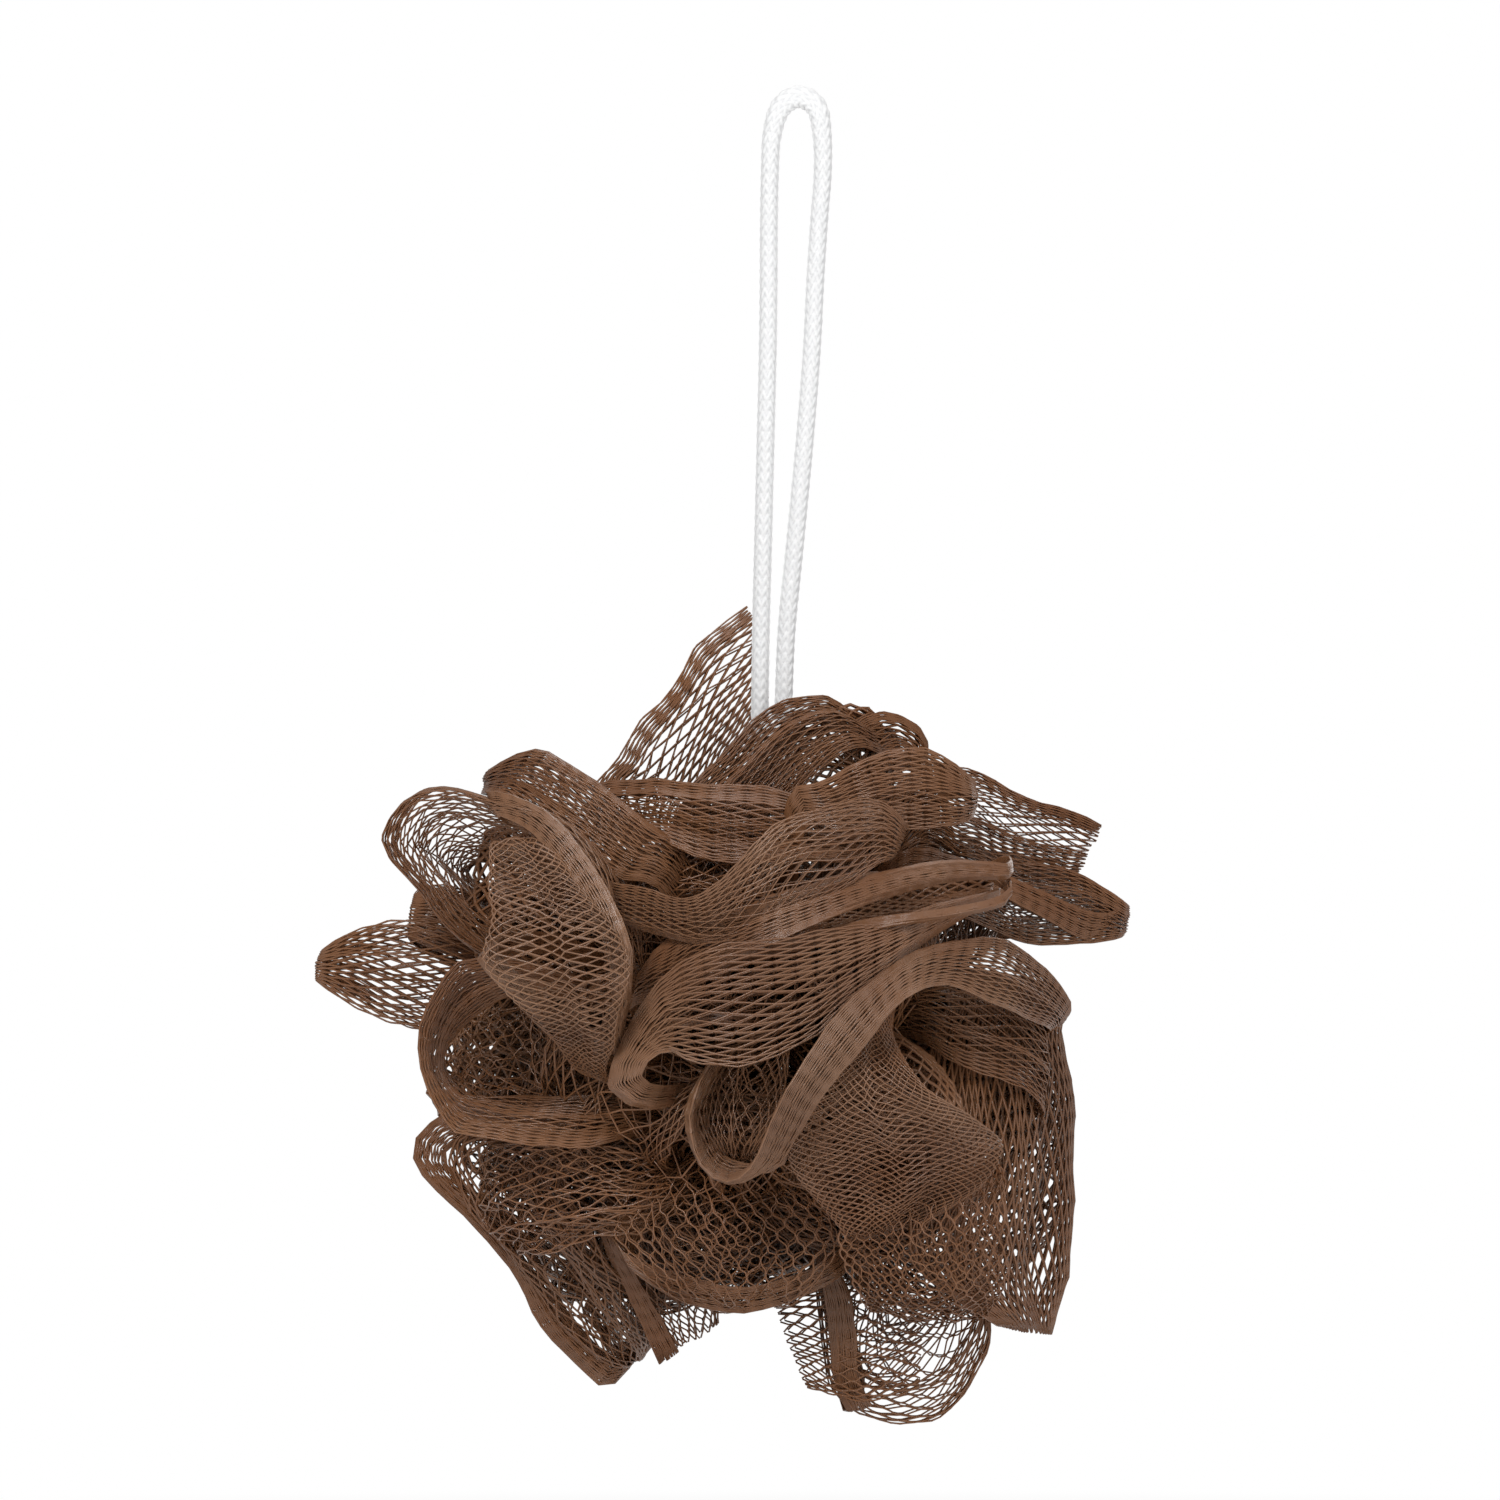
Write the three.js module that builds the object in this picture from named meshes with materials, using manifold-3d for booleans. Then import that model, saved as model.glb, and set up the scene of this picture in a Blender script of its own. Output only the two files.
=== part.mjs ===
// A bath pouf: eight lengths of brown net tube, folded like fans and bound round the waist with
// twine, hanging on a white braided cord. The cord's two stems come up from a hitch round the
// waist, are knotted together, and go on as the hanging loop.
// Millimetres. +Z is up, +X is right and -Y is towards the front. The origin is the hang point:
// the underside of the cord at the top of the loop. The waist's own axis runs along Y.

import * as THREE from "three";
import { mergeVertices } from "three/addons/utils/BufferGeometryUtils.js";
import Module from "manifold-3d";

const wasm = await Module();
wasm.setup();

// ---- Driving dimensions -------------------------------------------------------------------------

const GAP = 0.3; // between pieces that touch on the real pouf

// Braided cord. The loop's route runs in the XZ plane from inside the knot, up the left leg,
// over the hang point and down the right leg.
const CORD_D = 3;
const CORD_SIDES = 8;
const LOOP_STEPS = 76;
const WAIST_SEGMENTS = 48; // in one turn round the waist
const LOOP_ROUTE = [
  [-6.3, -101],
  [-6.25, -95],
  [-6.1, -84],
  [-5.8, -72.6],
  [-5.4, -56],
  [-5.0, -39.8],
  [-4.85, -28],
  [-4.8, -18.7],
  [-4.65, -10.6],
  [-4.3, -4.6],
  [-2.9, -0.2],
  [0, 1.5],
  [2.8, -0.2],
  [3.7, -4.6],
  [3.8, -10.6],
  [3.2, -18.7],
  [2.6, -28],
  [2.0, -39.8],
  [0.7, -56],
  [-0.9, -72.6],
  [-2.0, -84],
  [-2.45, -95],
  [-2.5, -101],
];
const END_LENGTH = 9; // each melted cord end that stands out of the hitch
const END_SPLAY = 25; // degrees from straight down

// Knot: both legs of the loop tied together in one overhand knot.
const KNOT_D = 10;
const KNOT_X = -4.4;
const KNOT_Z = -103;
const KNOT_CLEARANCE = 1; // round the knot, so that it turns freely in the net
const SWING_LIMIT = 20; // degrees, each way, front to back and side to side

// Waist: the gathered middle of the net, with its twine and the cord's hitch over that.
const WAIST_Z = -153;
const WAIST_R = 9;
const TWINE_D = 1.2;
const TWINE_TURNS = 3;
const TWINE_STEPS = 72;

// Net. Each length's two halves reach POUF_R plus its own extra from the waist's axis.
const POUF_R = 57.5;
const POUF_DEPTH = 106; // front to back
const MOUTH_R = 11; // the hollow at the middle of the rosette, front and back
const MOUTH_DEPTH = 15;
const LOBE_PARTING = 1; // between a length's front and back halves at the rim
const PETAL_SHOULDER = 13; // how far inside its tip a petal starts to round off
const NET_LENGTHS = [
  { angle: 0, front: 0, back: 2 },
  { angle: 45, front: 2, back: 6 },
  { angle: 90, front: 1, back: 15 },
  { angle: 135, front: 7, back: 0 },
  { angle: 180, front: 15, back: -3 },
  { angle: 225, front: -1, back: -1 },
  { angle: 270, front: 0, back: 1 },
  { angle: 315, front: 5, back: 5 },
];
const SECTOR = 360 / NET_LENGTHS.length;

// ---- Sizes that follow from them ----------------------------------------------------------------

const CORD_R = CORD_D / 2;
const KNOT_R = KNOT_D / 2;
const STEM_X = CORD_R + GAP / 2; // each stem's axis from the knot's
const TWINE_PITCH = TWINE_D + GAP;
const TWINE_RING_R = WAIST_R + GAP + TWINE_D / 2;
const HITCH_RING_R = TWINE_RING_R + TWINE_D / 2 + GAP + CORD_R;
const HITCH_OUTER_R = HITCH_RING_R + CORD_R;
const END_REACH_R = HITCH_OUTER_R + GAP + END_LENGTH + 2 * GAP;
const GROOVE_HALF = Math.max((TWINE_TURNS * TWINE_PITCH + TWINE_D) / 2, CORD_R) + GAP;
const STEM_CHANNEL_R = STEM_X + CORD_R + 2 * GAP;

// The widest tilt of the cord against the net, with both swings at their limits.
const swing = THREE.MathUtils.degToRad(SWING_LIMIT);
const TILT = Math.acos(Math.cos(swing) ** 2);
const FUNNEL_HEIGHT = POUF_R;
const FUNNEL_FOOT_R = (STEM_X + CORD_R) / Math.cos(TILT) + KNOT_CLEARANCE;

// ---- Materials ----------------------------------------------------------------------------------

function material(name, colour, roughness) {
  return new THREE.MeshStandardMaterial({ name, color: colour, roughness, metalness: 0 });
}
const netting = material("brown_netting", 0x5c4234, 0.4);
const braid = material("white_braid", 0xf0efec, 0.75);
const twine = material("brown_twine", 0x4a3529, 0.8);

// ---- Solids -------------------------------------------------------------------------------------

// A closed three.js geometry as a solid that can be cut and joined.
function solid(geometry) {
  const bare = geometry.index ? geometry.toNonIndexed() : geometry.clone();
  bare.deleteAttribute("normal");
  bare.deleteAttribute("uv");
  const merged = mergeVertices(bare, 1e-4);
  const corners = merged.index.array;
  const kept = [];
  for (let i = 0; i < corners.length; i += 3) {
    const [a, b, c] = corners.slice(i, i + 3);
    if (a !== b && b !== c && c !== a) kept.push(a, b, c);
  }
  return new wasm.Manifold(
    new wasm.Mesh({
      numProp: 3,
      vertProperties: merged.attributes.position.array,
      triVerts: new Uint32Array(kept),
    }),
  );
}

// A solid back as a three.js geometry.
function geometryOf(shape) {
  const mesh = shape.getMesh();
  const geometry = new THREE.BufferGeometry();
  geometry.setAttribute("position", new THREE.BufferAttribute(mesh.vertProperties, 3));
  geometry.setIndex(new THREE.BufferAttribute(mesh.triVerts, 1));
  geometry.computeVertexNormals();
  return geometry;
}

// A round rod along a curve.
function rodAlong(curve, radius, steps) {
  const section = new THREE.Shape(
    Array.from({ length: CORD_SIDES }, (_, i) => {
      const turn = (2 * Math.PI * i) / CORD_SIDES;
      return new THREE.Vector2(radius * Math.cos(turn), radius * Math.sin(turn));
    }),
  );
  return new THREE.ExtrudeGeometry(section, { extrudePath: curve, steps });
}

// A profile of [radius, height] points turned about the upright line through the knot.
function turnedUpright(profile, segments) {
  const points = profile.map(([r, z]) => new THREE.Vector2(r, z));
  return new THREE.LatheGeometry(points, segments)
    .rotateX(Math.PI / 2)
    .translate(KNOT_X, 0, KNOT_Z);
}

// A profile of [radius, y] points turned about the waist's axis.
function turnedRoundWaist(profile, segments) {
  const points = profile.map(([r, y]) => new THREE.Vector2(r, y));
  return new THREE.LatheGeometry(points, segments).translate(KNOT_X, 0, WAIST_Z);
}

// ---- Cord ---------------------------------------------------------------------------------------

function knotBall(radius) {
  return new THREE.SphereGeometry(radius, 24, 14).translate(KNOT_X, 0, KNOT_Z);
}

const knotRoom = solid(knotBall(KNOT_R + GAP));

function hangingLoop() {
  const route = LOOP_ROUTE.map(([x, z]) => new THREE.Vector3(x, 0, z));
  const curve = new THREE.CatmullRomCurve3(route, false, "centripetal");
  return geometryOf(solid(rodAlong(curve, CORD_R, LOOP_STEPS)).subtract(knotRoom));
}

// One of the two stems between the knot and the hitch. side is -1 on the left and 1 on the right.
function cordStem(side) {
  const foot = WAIST_Z + HITCH_OUTER_R + GAP;
  const length = KNOT_Z - foot;
  const rod = new THREE.CylinderGeometry(CORD_R, CORD_R, length, CORD_SIDES * 2)
    .rotateX(Math.PI / 2)
    .translate(KNOT_X + side * STEM_X, 0, foot + length / 2);
  return geometryOf(solid(rod).subtract(knotRoom));
}

// The cord round the waist: a closed ring.
function cordHitch() {
  const profile = Array.from({ length: CORD_SIDES + 1 }, (_, i) => {
    const turn = (2 * Math.PI * i) / CORD_SIDES;
    return [HITCH_RING_R + CORD_R * Math.cos(turn), CORD_R * Math.sin(turn)];
  });
  return turnedRoundWaist(profile, WAIST_SEGMENTS);
}

// A short cord end with a melted, rounded tip, pointing down and out from the hitch.
function cordEnd(side) {
  const start = HITCH_OUTER_R + GAP;
  const barrel = start + END_LENGTH - CORD_R;
  const tip = Array.from({ length: 4 }, (_, i) => {
    const turn = (Math.PI / 2) * ((i + 1) / 4);
    return new THREE.Vector2(CORD_R * Math.cos(turn), -barrel - CORD_R * Math.sin(turn));
  }).reverse();
  const profile = [
    ...tip,
    new THREE.Vector2(CORD_R, -barrel),
    new THREE.Vector2(CORD_R, -start),
    new THREE.Vector2(0, -start),
  ];
  return new THREE.LatheGeometry(profile, CORD_SIDES * 2)
    .rotateX(Math.PI / 2)
    .rotateY(-side * THREE.MathUtils.degToRad(END_SPLAY))
    .translate(KNOT_X, 0, WAIST_Z);
}

// ---- Twine --------------------------------------------------------------------------------------

class TwineTurns extends THREE.Curve {
  getPoint(t, target = new THREE.Vector3()) {
    const turn = 2 * Math.PI * TWINE_TURNS * t;
    return target.set(
      KNOT_X + TWINE_RING_R * Math.cos(turn),
      (t - 0.5) * TWINE_TURNS * TWINE_PITCH,
      WAIST_Z + TWINE_RING_R * Math.sin(turn),
    );
  }
}

function waistTwine() {
  return rodAlong(new TwineTurns(), TWINE_D / 2, TWINE_STEPS);
}

// ---- Net ----------------------------------------------------------------------------------------

// Half a length's profile from its mouth on the axis to its rim, as [radius, distance from y = 0].
function lobeProfile(reach) {
  const depth = POUF_DEPTH / 2;
  const from = Math.asin(MOUTH_R / reach);
  const to = Math.acos(LOBE_PARTING / POUF_DEPTH);
  const dome = Array.from({ length: 10 }, (_, i) => {
    const turn = from + ((to - from) * i) / 9;
    return [reach * Math.sin(turn), depth * Math.cos(turn)];
  });
  return [
    [0, depth - MOUTH_DEPTH],
    ...dome,
    [END_REACH_R, GROOVE_HALF],
    [WAIST_R, GROOVE_HALF],
  ];
}

// A sector's outline as seen along the waist's axis: straight sides and a rounded tip.
function petalOutline(reach) {
  const half = THREE.MathUtils.degToRad(SECTOR / 2);
  const apex = GAP / 2 / Math.sin(half);
  const shoulder = reach - PETAL_SHOULDER;
  const petal = new THREE.Shape();
  petal.moveTo(apex, 0);
  petal.lineTo(apex + shoulder * Math.cos(half), -shoulder * Math.sin(half));
  petal.quadraticCurveTo(reach, -shoulder * Math.sin(half), reach + apex, 0);
  petal.quadraticCurveTo(
    reach,
    shoulder * Math.sin(half),
    apex + shoulder * Math.cos(half),
    shoulder * Math.sin(half),
  );
  return petal;
}

// The room that the cord needs in the net: the knot, the funnel that the legs swing in above it,
// and the channel that the stems turn in below it.
function cordRoom() {
  const top = FUNNEL_FOOT_R + FUNNEL_HEIGHT * Math.tan(TILT);
  const funnel = [
    [0, 0],
    [FUNNEL_FOOT_R, 0],
    [top, FUNNEL_HEIGHT],
    [0, FUNNEL_HEIGHT],
  ];
  const channel = [
    [0, WAIST_Z - KNOT_Z],
    [STEM_CHANNEL_R, WAIST_Z - KNOT_Z],
    [STEM_CHANNEL_R, 0],
    [0, 0],
  ];
  // Below the hitch's top the groove already gives the stems their room.
  const waistBlock = turnedRoundWaist(
    [
      [0, -POUF_DEPTH],
      [HITCH_OUTER_R, -POUF_DEPTH],
      [HITCH_OUTER_R, POUF_DEPTH],
      [0, POUF_DEPTH],
    ],
    WAIST_SEGMENTS,
  );
  return solid(turnedUpright(channel, 24))
    .subtract(solid(waistBlock))
    .add(solid(turnedUpright(funnel, 32)))
    .add(solid(knotBall(KNOT_R + KNOT_CLEARANCE)));
}

const roomForCord = cordRoom();

function netLength({ angle, front, back }) {
  const frontHalf = lobeProfile(POUF_R + front).map(([r, y]) => [r, -y]);
  const backHalf = lobeProfile(POUF_R + back).reverse();
  const bunch = solid(turnedRoundWaist([...frontHalf, ...backHalf], WAIST_SEGMENTS));
  const reach = POUF_R + Math.max(front, back);
  const petal = new THREE.ExtrudeGeometry(petalOutline(reach), {
    depth: POUF_DEPTH,
    bevelEnabled: false,
    curveSegments: 6,
  })
    .translate(0, 0, -POUF_DEPTH / 2)
    .rotateX(Math.PI / 2)
    .rotateY(-THREE.MathUtils.degToRad(angle))
    .translate(KNOT_X, 0, WAIST_Z);
  return geometryOf(bunch.intersect(solid(petal)).subtract(roomForCord));
}

// ---- Assembly -----------------------------------------------------------------------------------

const pouf = new THREE.Group();

function add(name, geometry, look) {
  const mesh = new THREE.Mesh(geometry, look.clone());
  mesh.name = name;
  pouf.add(mesh);
}

add("hanging_loop", hangingLoop(), braid);
add("cord_knot", knotBall(KNOT_R), braid);
add("cord_stem_left", cordStem(-1), braid);
add("cord_stem_right", cordStem(1), braid);
add("cord_hitch", cordHitch(), braid);
add("cord_end_left", cordEnd(-1), braid);
add("cord_end_right", cordEnd(1), braid);
add("waist_twine", waistTwine(), twine);
NET_LENGTHS.forEach((length, i) => add(`net_length_${i + 1}`, netLength(length), netting));

export default pouf;
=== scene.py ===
# %% [markdown]
# # A bath pouf of brown net tube on a white braided cord
#
# The real thing is made from a few lengths of extruded net tube. Each is folded to and fro like
# a fan, all of them are bound round the middle with twine, and a hitched cord carries them.
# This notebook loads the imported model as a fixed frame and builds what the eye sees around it:
# first the camera and the cord, then the net, strand by strand, then floor and light.

# %% The frame
import math

import bmesh
import bpy
import numpy as np
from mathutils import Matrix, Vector


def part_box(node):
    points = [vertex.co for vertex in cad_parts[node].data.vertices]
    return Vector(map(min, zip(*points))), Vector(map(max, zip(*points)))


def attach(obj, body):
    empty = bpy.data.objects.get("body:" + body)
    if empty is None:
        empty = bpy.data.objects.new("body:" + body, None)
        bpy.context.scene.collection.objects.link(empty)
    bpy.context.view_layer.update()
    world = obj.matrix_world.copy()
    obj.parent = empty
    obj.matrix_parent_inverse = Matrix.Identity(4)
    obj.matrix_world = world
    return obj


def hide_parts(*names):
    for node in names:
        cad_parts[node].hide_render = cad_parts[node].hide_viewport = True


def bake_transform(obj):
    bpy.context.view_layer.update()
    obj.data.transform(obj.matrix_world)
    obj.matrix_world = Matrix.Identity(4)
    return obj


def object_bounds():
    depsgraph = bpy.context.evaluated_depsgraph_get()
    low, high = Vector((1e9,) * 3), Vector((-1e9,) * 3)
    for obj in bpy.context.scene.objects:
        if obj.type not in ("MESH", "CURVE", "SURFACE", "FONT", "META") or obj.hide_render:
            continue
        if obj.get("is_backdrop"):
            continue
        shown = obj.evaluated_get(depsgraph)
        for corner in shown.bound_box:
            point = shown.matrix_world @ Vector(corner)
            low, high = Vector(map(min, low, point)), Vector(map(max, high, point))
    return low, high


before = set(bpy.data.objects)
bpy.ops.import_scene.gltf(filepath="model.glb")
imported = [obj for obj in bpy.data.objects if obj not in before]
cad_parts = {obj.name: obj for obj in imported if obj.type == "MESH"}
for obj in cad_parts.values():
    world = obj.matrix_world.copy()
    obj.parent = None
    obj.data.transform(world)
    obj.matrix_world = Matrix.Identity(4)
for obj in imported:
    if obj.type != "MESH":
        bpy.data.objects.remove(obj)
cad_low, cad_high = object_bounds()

MM = 0.001

# %% [markdown]
# ## Camera
#
# A long lens from three metres keeps the lobes in their true proportions. It looks straight
# along +Y at a square a little larger than the pouf with its cord.

# %% Camera
VIEW_WIDTH = 240 * MM
VIEW_DISTANCE = 3.0
VIEW_CENTRE = (-7.84 * MM, -103 * MM)  # across and up

camera = bpy.data.objects.new("camera", bpy.data.cameras.new("camera"))
camera.location = (VIEW_CENTRE[0], -VIEW_DISTANCE, VIEW_CENTRE[1])
camera.rotation_euler = (math.pi / 2, 0, 0)
camera.data.lens = camera.data.sensor_width * VIEW_DISTANCE / VIEW_WIDTH
bpy.context.scene.collection.objects.link(camera)
bpy.context.scene.camera = camera
print("lens:", round(camera.data.lens), "mm")

# %% [markdown]
# ## Soft curves
#
# Every cord and every edge of the net is a smooth line through a few chosen points. A Bezier
# curve would need handles. A Catmull-Rom line passes through all of its points, so a
# given point stays where it was put.

# %% A smooth line through points
def smooth_line(points, steps=16):
    """A Catmull-Rom line through points of any number of coordinates."""
    p = np.asarray(points, float)
    p = np.vstack([2 * p[0] - p[1], p, 2 * p[-1] - p[-2]])
    t = (np.arange(steps) / steps)[:, None]
    spans = []
    for a, b, c, d in zip(p[:-3], p[1:-2], p[2:-1], p[3:]):
        bend = 2 * a - 5 * b + 4 * c - d
        spans.append(b + t / 2 * (c - a) + t**2 / 2 * bend + t**3 / 2 * (3 * b - 3 * c + d - a))
    return np.vstack([*spans, p[-2:-1]])


# %% [markdown]
# A line is measured and spaced evenly before anything is laid on it, because a braid's stitches
# and a net's cells are a matter of real length.

# %% Measuring a line
def distance_along(line):
    """How far each point is along the line."""
    steps = np.linalg.norm(np.diff(line, axis=0), axis=1)
    return np.concatenate([[0], np.cumsum(steps)])


def at_distances(line, along, wanted):
    """The line's values at the wanted distances."""
    return np.stack([np.interp(wanted, along, line[:, k]) for k in range(line.shape[1])], axis=-1)


def unit(vectors):
    """The vectors at length one."""
    return vectors / np.maximum(np.linalg.norm(vectors, axis=-1, keepdims=True), 1e-9)


# %% [markdown]
# ## The braided cord
#
# The cord is a knitted polyester braid, 3 mm thick: six columns of V-shaped stitches run along
# it, and two of them face you. A bump texture could only hint at that, so the stitches are
# modelled. A tube is laid along the cord's line, in rings a fraction of a millimetre apart, and
# each vertex is pushed out by the height of the stitch that it lies on.
#
# The tube needs a direction across the line at each ring. If each ring found its own, the
# stitches would twist where the line bends, so one direction is carried from ring to ring.

# %% Frames along a line
def carried_frames(line, first_normal):
    """A normal and a side vector at each point, carried along without twist."""
    tangents = unit(np.gradient(line, axis=0))
    normals = np.empty_like(line)
    normal = np.asarray(first_normal, float)
    for i, tangent in enumerate(tangents):
        normal = unit(normal - tangent * (normal @ tangent))
        normals[i] = normal
    return normals, np.cross(tangents, normals)


# %% [markdown]
# A stitch is a V: two short arms that meet in the middle of their column. Along an arm the
# height is a low arch, and between two stitches it falls to nothing. The arms lean, so the
# place of the arch depends on how far across the column a point lies.

# %% The height of a knitted stitch
STITCH_COLUMNS = 6
STITCH_PITCH = 1.65  # mm from one V to the next
STITCH_LEAN = 0.8  # how many stitches a V's arms drop from its peak to its feet
ARM_SHARE = 0.25  # how much of the height depends on the place across an arm
ARM_FULLNESS = 0.4  # below 1, an arm is full and its edges are steep


def stitch_height(turn, along):
    """From 0 in the gaps between stitches to 1 on top of them. turn is in whole turns."""
    across = 2 * ((turn * STITCH_COLUMNS) % 1) - 1
    row = (along / STITCH_PITCH + STITCH_LEAN * np.abs(across)) % 1
    bulge = np.clip(1 - (2 * row - 1) ** 2, 0, 1)
    arm = np.clip(1 - (2 * np.abs(across) - 1) ** 2, 0, 1) ** ARM_FULLNESS
    return bulge * (1 - ARM_SHARE + ARM_SHARE * arm)


# %% [markdown]
# A curve's bevel sweeps one fixed section, and here the section changes from ring to ring. So a
# grid is bent round: each of its rows becomes a ring. The grid has one column too many, which
# comes to lie on the first, and where a cord runs back into itself, one row too many as well.
# Merging doubles closes these seams, and the ends that are left open are filled.
#
# The height of each point goes into an attribute called relief. The yarn's material reads it
# later and paints shade into the gaps between stitches.

# %% A grid bent into rings
SEAM = 1e-7  # metres; far less than from one point to the next


def ring_mesh(name, places, heights, closed):
    """A smooth-shaded mesh over rings of points in metres, with a height at each point."""
    over = ((0, int(closed)), (0, 1))
    places = np.pad(places, (*over, (0, 0)), mode="wrap")
    heights = np.pad(heights, over, mode="wrap")
    rings, sides = heights.shape
    shape = bmesh.new()
    bmesh.ops.create_grid(shape, x_segments=sides - 1, y_segments=rings - 1)
    relief = shape.verts.layers.float.new("relief")
    for vert, place, height in zip(shape.verts, places.reshape(-1, 3), heights.ravel()):
        vert.co = place
        vert[relief] = height
    bmesh.ops.remove_doubles(shape, verts=shape.verts, dist=SEAM)
    open_edges = [edge for edge in shape.edges if edge.is_boundary]
    bmesh.ops.holes_fill(shape, edges=open_edges, sides=sides)
    bmesh.ops.recalc_face_normals(shape, faces=shape.faces)
    mesh = bpy.data.meshes.new(name)
    shape.to_mesh(mesh)
    shape.free()
    mesh.shade_smooth()
    return mesh


# %% [markdown]
# The tube itself is a line with evenly spaced rings, and a function that gives the radius at
# each point. Each cord, knot and twine below is one call of it.

# %% A tube with a modelled surface
RINGS_PER_MM = 6
TUBE_SIDES = 36
IN_PLANE = 1.0  # mm; a line that stays this near to the pouf's plane starts facing the front


def modelled_tube(name, line, radius_at, closed=False, relief_at=None,
                  sides=TUBE_SIDES, rings=RINGS_PER_MM):
    """A tube in mm along a line. radius_at(turn, along, length) gives its surface."""
    reach = distance_along(line)
    length = reach[-1]
    spaced_at = np.linspace(0, length, int(length * rings) + 1)
    spaced = at_distances(line, reach, spaced_at)
    faces_front = abs(spaced[:, 1]).max() < IN_PLANE
    normals, side = carried_frames(spaced, (0, -1, 0) if faces_front else (0, 0, 1))
    if closed:
        spaced, normals, side, spaced_at = spaced[:-1], normals[:-1], side[:-1], spaced_at[:-1]
    turn, along = (np.arange(sides) / sides)[None, :], spaced_at[:, None]
    angle = 2 * np.pi * turn[..., None]
    out = normals[:, None] * np.cos(angle) + side[:, None] * np.sin(angle)
    places = spaced[:, None] + out * radius_at(turn, along, length)[..., None]
    heights = (relief_at or radius_at)(turn, along, length)
    mesh = ring_mesh(name, places * MM, heights / heights.max(axis=1, keepdims=True), closed)
    piece = bpy.data.objects.new(name, mesh)
    bpy.context.scene.collection.objects.link(piece)
    print(name, round(length, 1), "mm long,", len(mesh.polygons), "faces")
    return piece, spaced


# %% [markdown]
# ## The hanging loop
#
# The loop is the only free part of the cord, and its whole length is in sight. Its route is the
# CAD's, in the plane of the pouf. The braid is hollow, so where the loop hangs on its hook it is
# pressed wider in that plane and thinner across it, over a few millimetres.

# %% The loop's route and surface
CORD_R = 1.5
STITCH_DEPTH = 0.34
TOP_FLAT = 0.28  # how much wider and thinner the cord is at the top
TOP_REACH = 7.0  # mm
LOOP_ROUTE = [  # mm, right and up from the hang point
    (-6.3, -101), (-6.25, -95), (-6.1, -84), (-5.8, -72.6), (-5.4, -56), (-5.0, -39.8),
    (-4.85, -28), (-4.8, -18.7), (-4.65, -10.6), (-4.3, -4.6), (-2.9, -0.2), (0, 1.5),
    (2.8, -0.2), (3.7, -4.6), (3.8, -10.6), (3.2, -18.7), (2.6, -28), (2.0, -39.8),
    (0.7, -56), (-0.9, -72.6), (-2.0, -84), (-2.45, -95), (-2.5, -101),
]


def cord_surface(turn, along, length):
    """The braid's radius in mm."""
    return CORD_R - STITCH_DEPTH * (1 - stitch_height(turn, along))


def loop_surface(turn, along, length):
    """The braid, flattened round the middle of the loop."""
    pressed = TOP_FLAT * np.exp(-(((along - length * 0.5) / TOP_REACH) ** 2))
    return cord_surface(turn, along, length) * (1 - pressed * np.cos(4 * np.pi * turn))


loop_line = smooth_line([(x, 0, z) for x, z in LOOP_ROUTE])
hanging_cord, loop_rings = modelled_tube(
    "hanging_cord", loop_line, loop_surface, relief_at=cord_surface
)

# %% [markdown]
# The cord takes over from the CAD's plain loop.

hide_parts("hanging_loop")
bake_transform(hanging_cord)

# %% [markdown]
# ## Knot, stems, hitch and cord ends
#
# Both legs of the loop are tied together in one knot. Below it the two stems run down into the
# net, where they are hitched round the waist, and the cord's two melted ends stick out below.
# Where these go is the frame's business, so their places are read from the CAD nodes' boxes.

# %% Places that the frame gives
def middle(node):
    """The middle of a CAD node's box, in mm."""
    low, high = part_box(node)
    return np.array((low + high) / 2) / MM


knot_centre = middle("cord_knot")
waist = middle("cord_hitch")
hitch_low, hitch_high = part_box("cord_hitch")
HITCH_R = (hitch_high.x - hitch_low.x) / 2 / MM - CORD_R
print("waist at", waist.round(1), "mm; hitch ring radius", round(HITCH_R, 1), "mm")

# %% [markdown]
# A pulled overhand knot could be simulated, but its shape is known: it is a trefoil, the curve
# that goes twice round while it weaves in and out three times. The braided tube follows it.

# %% The knot
KNOT_LOBE_R = 2.2
KNOT_WEAVE = 1.1
KNOT_DEPTH = 1.9
RING_STEPS = 241  # points round a ring


def add_cord(name, line, node, closed=False, surface=cord_surface):
    """A braided piece that stands for a CAD node."""
    piece, _ = modelled_tube(name, line, surface, closed)
    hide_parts(node)
    return piece


whole = np.linspace(0, 2 * np.pi, RING_STEPS)
lobe_r = KNOT_LOBE_R + KNOT_WEAVE * np.cos(3 * whole)
weave = KNOT_DEPTH * np.sin(3 * whole)
trefoil = np.stack([lobe_r * np.cos(2 * whole), weave, lobe_r * np.sin(2 * whole)], axis=1)
tied_knot = add_cord("tied_knot", trefoil + knot_centre, "cord_knot", closed=True)
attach(tied_knot, "knot")
cords = [hanging_cord, tied_knot]

# %% [markdown]
# The stems come out of the knot side by side. They run up to its centre, so that no gap opens
# when the pouf swings sideways. The hitch is a ring round the waist.

for side in ("left", "right"):
    low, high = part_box(f"cord_stem_{side}")
    x, foot, top = (low.x + high.x) / 2 / MM, low.z / MM, knot_centre[2]
    stem = smooth_line([(x, 0, foot), (x, 0, (foot + top) / 2), (x, 0, top)])
    cords.append(add_cord(f"braided_stem_{side}", stem, f"cord_stem_{side}"))
    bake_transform(cords[-1])

hitch = np.stack([HITCH_R * np.cos(whole), 0 * whole, HITCH_R * np.sin(whole)], axis=1) + waist
cords.append(add_cord("braided_hitch", hitch, "cord_hitch", closed=True))
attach(cords[-1], "pouf")

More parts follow.
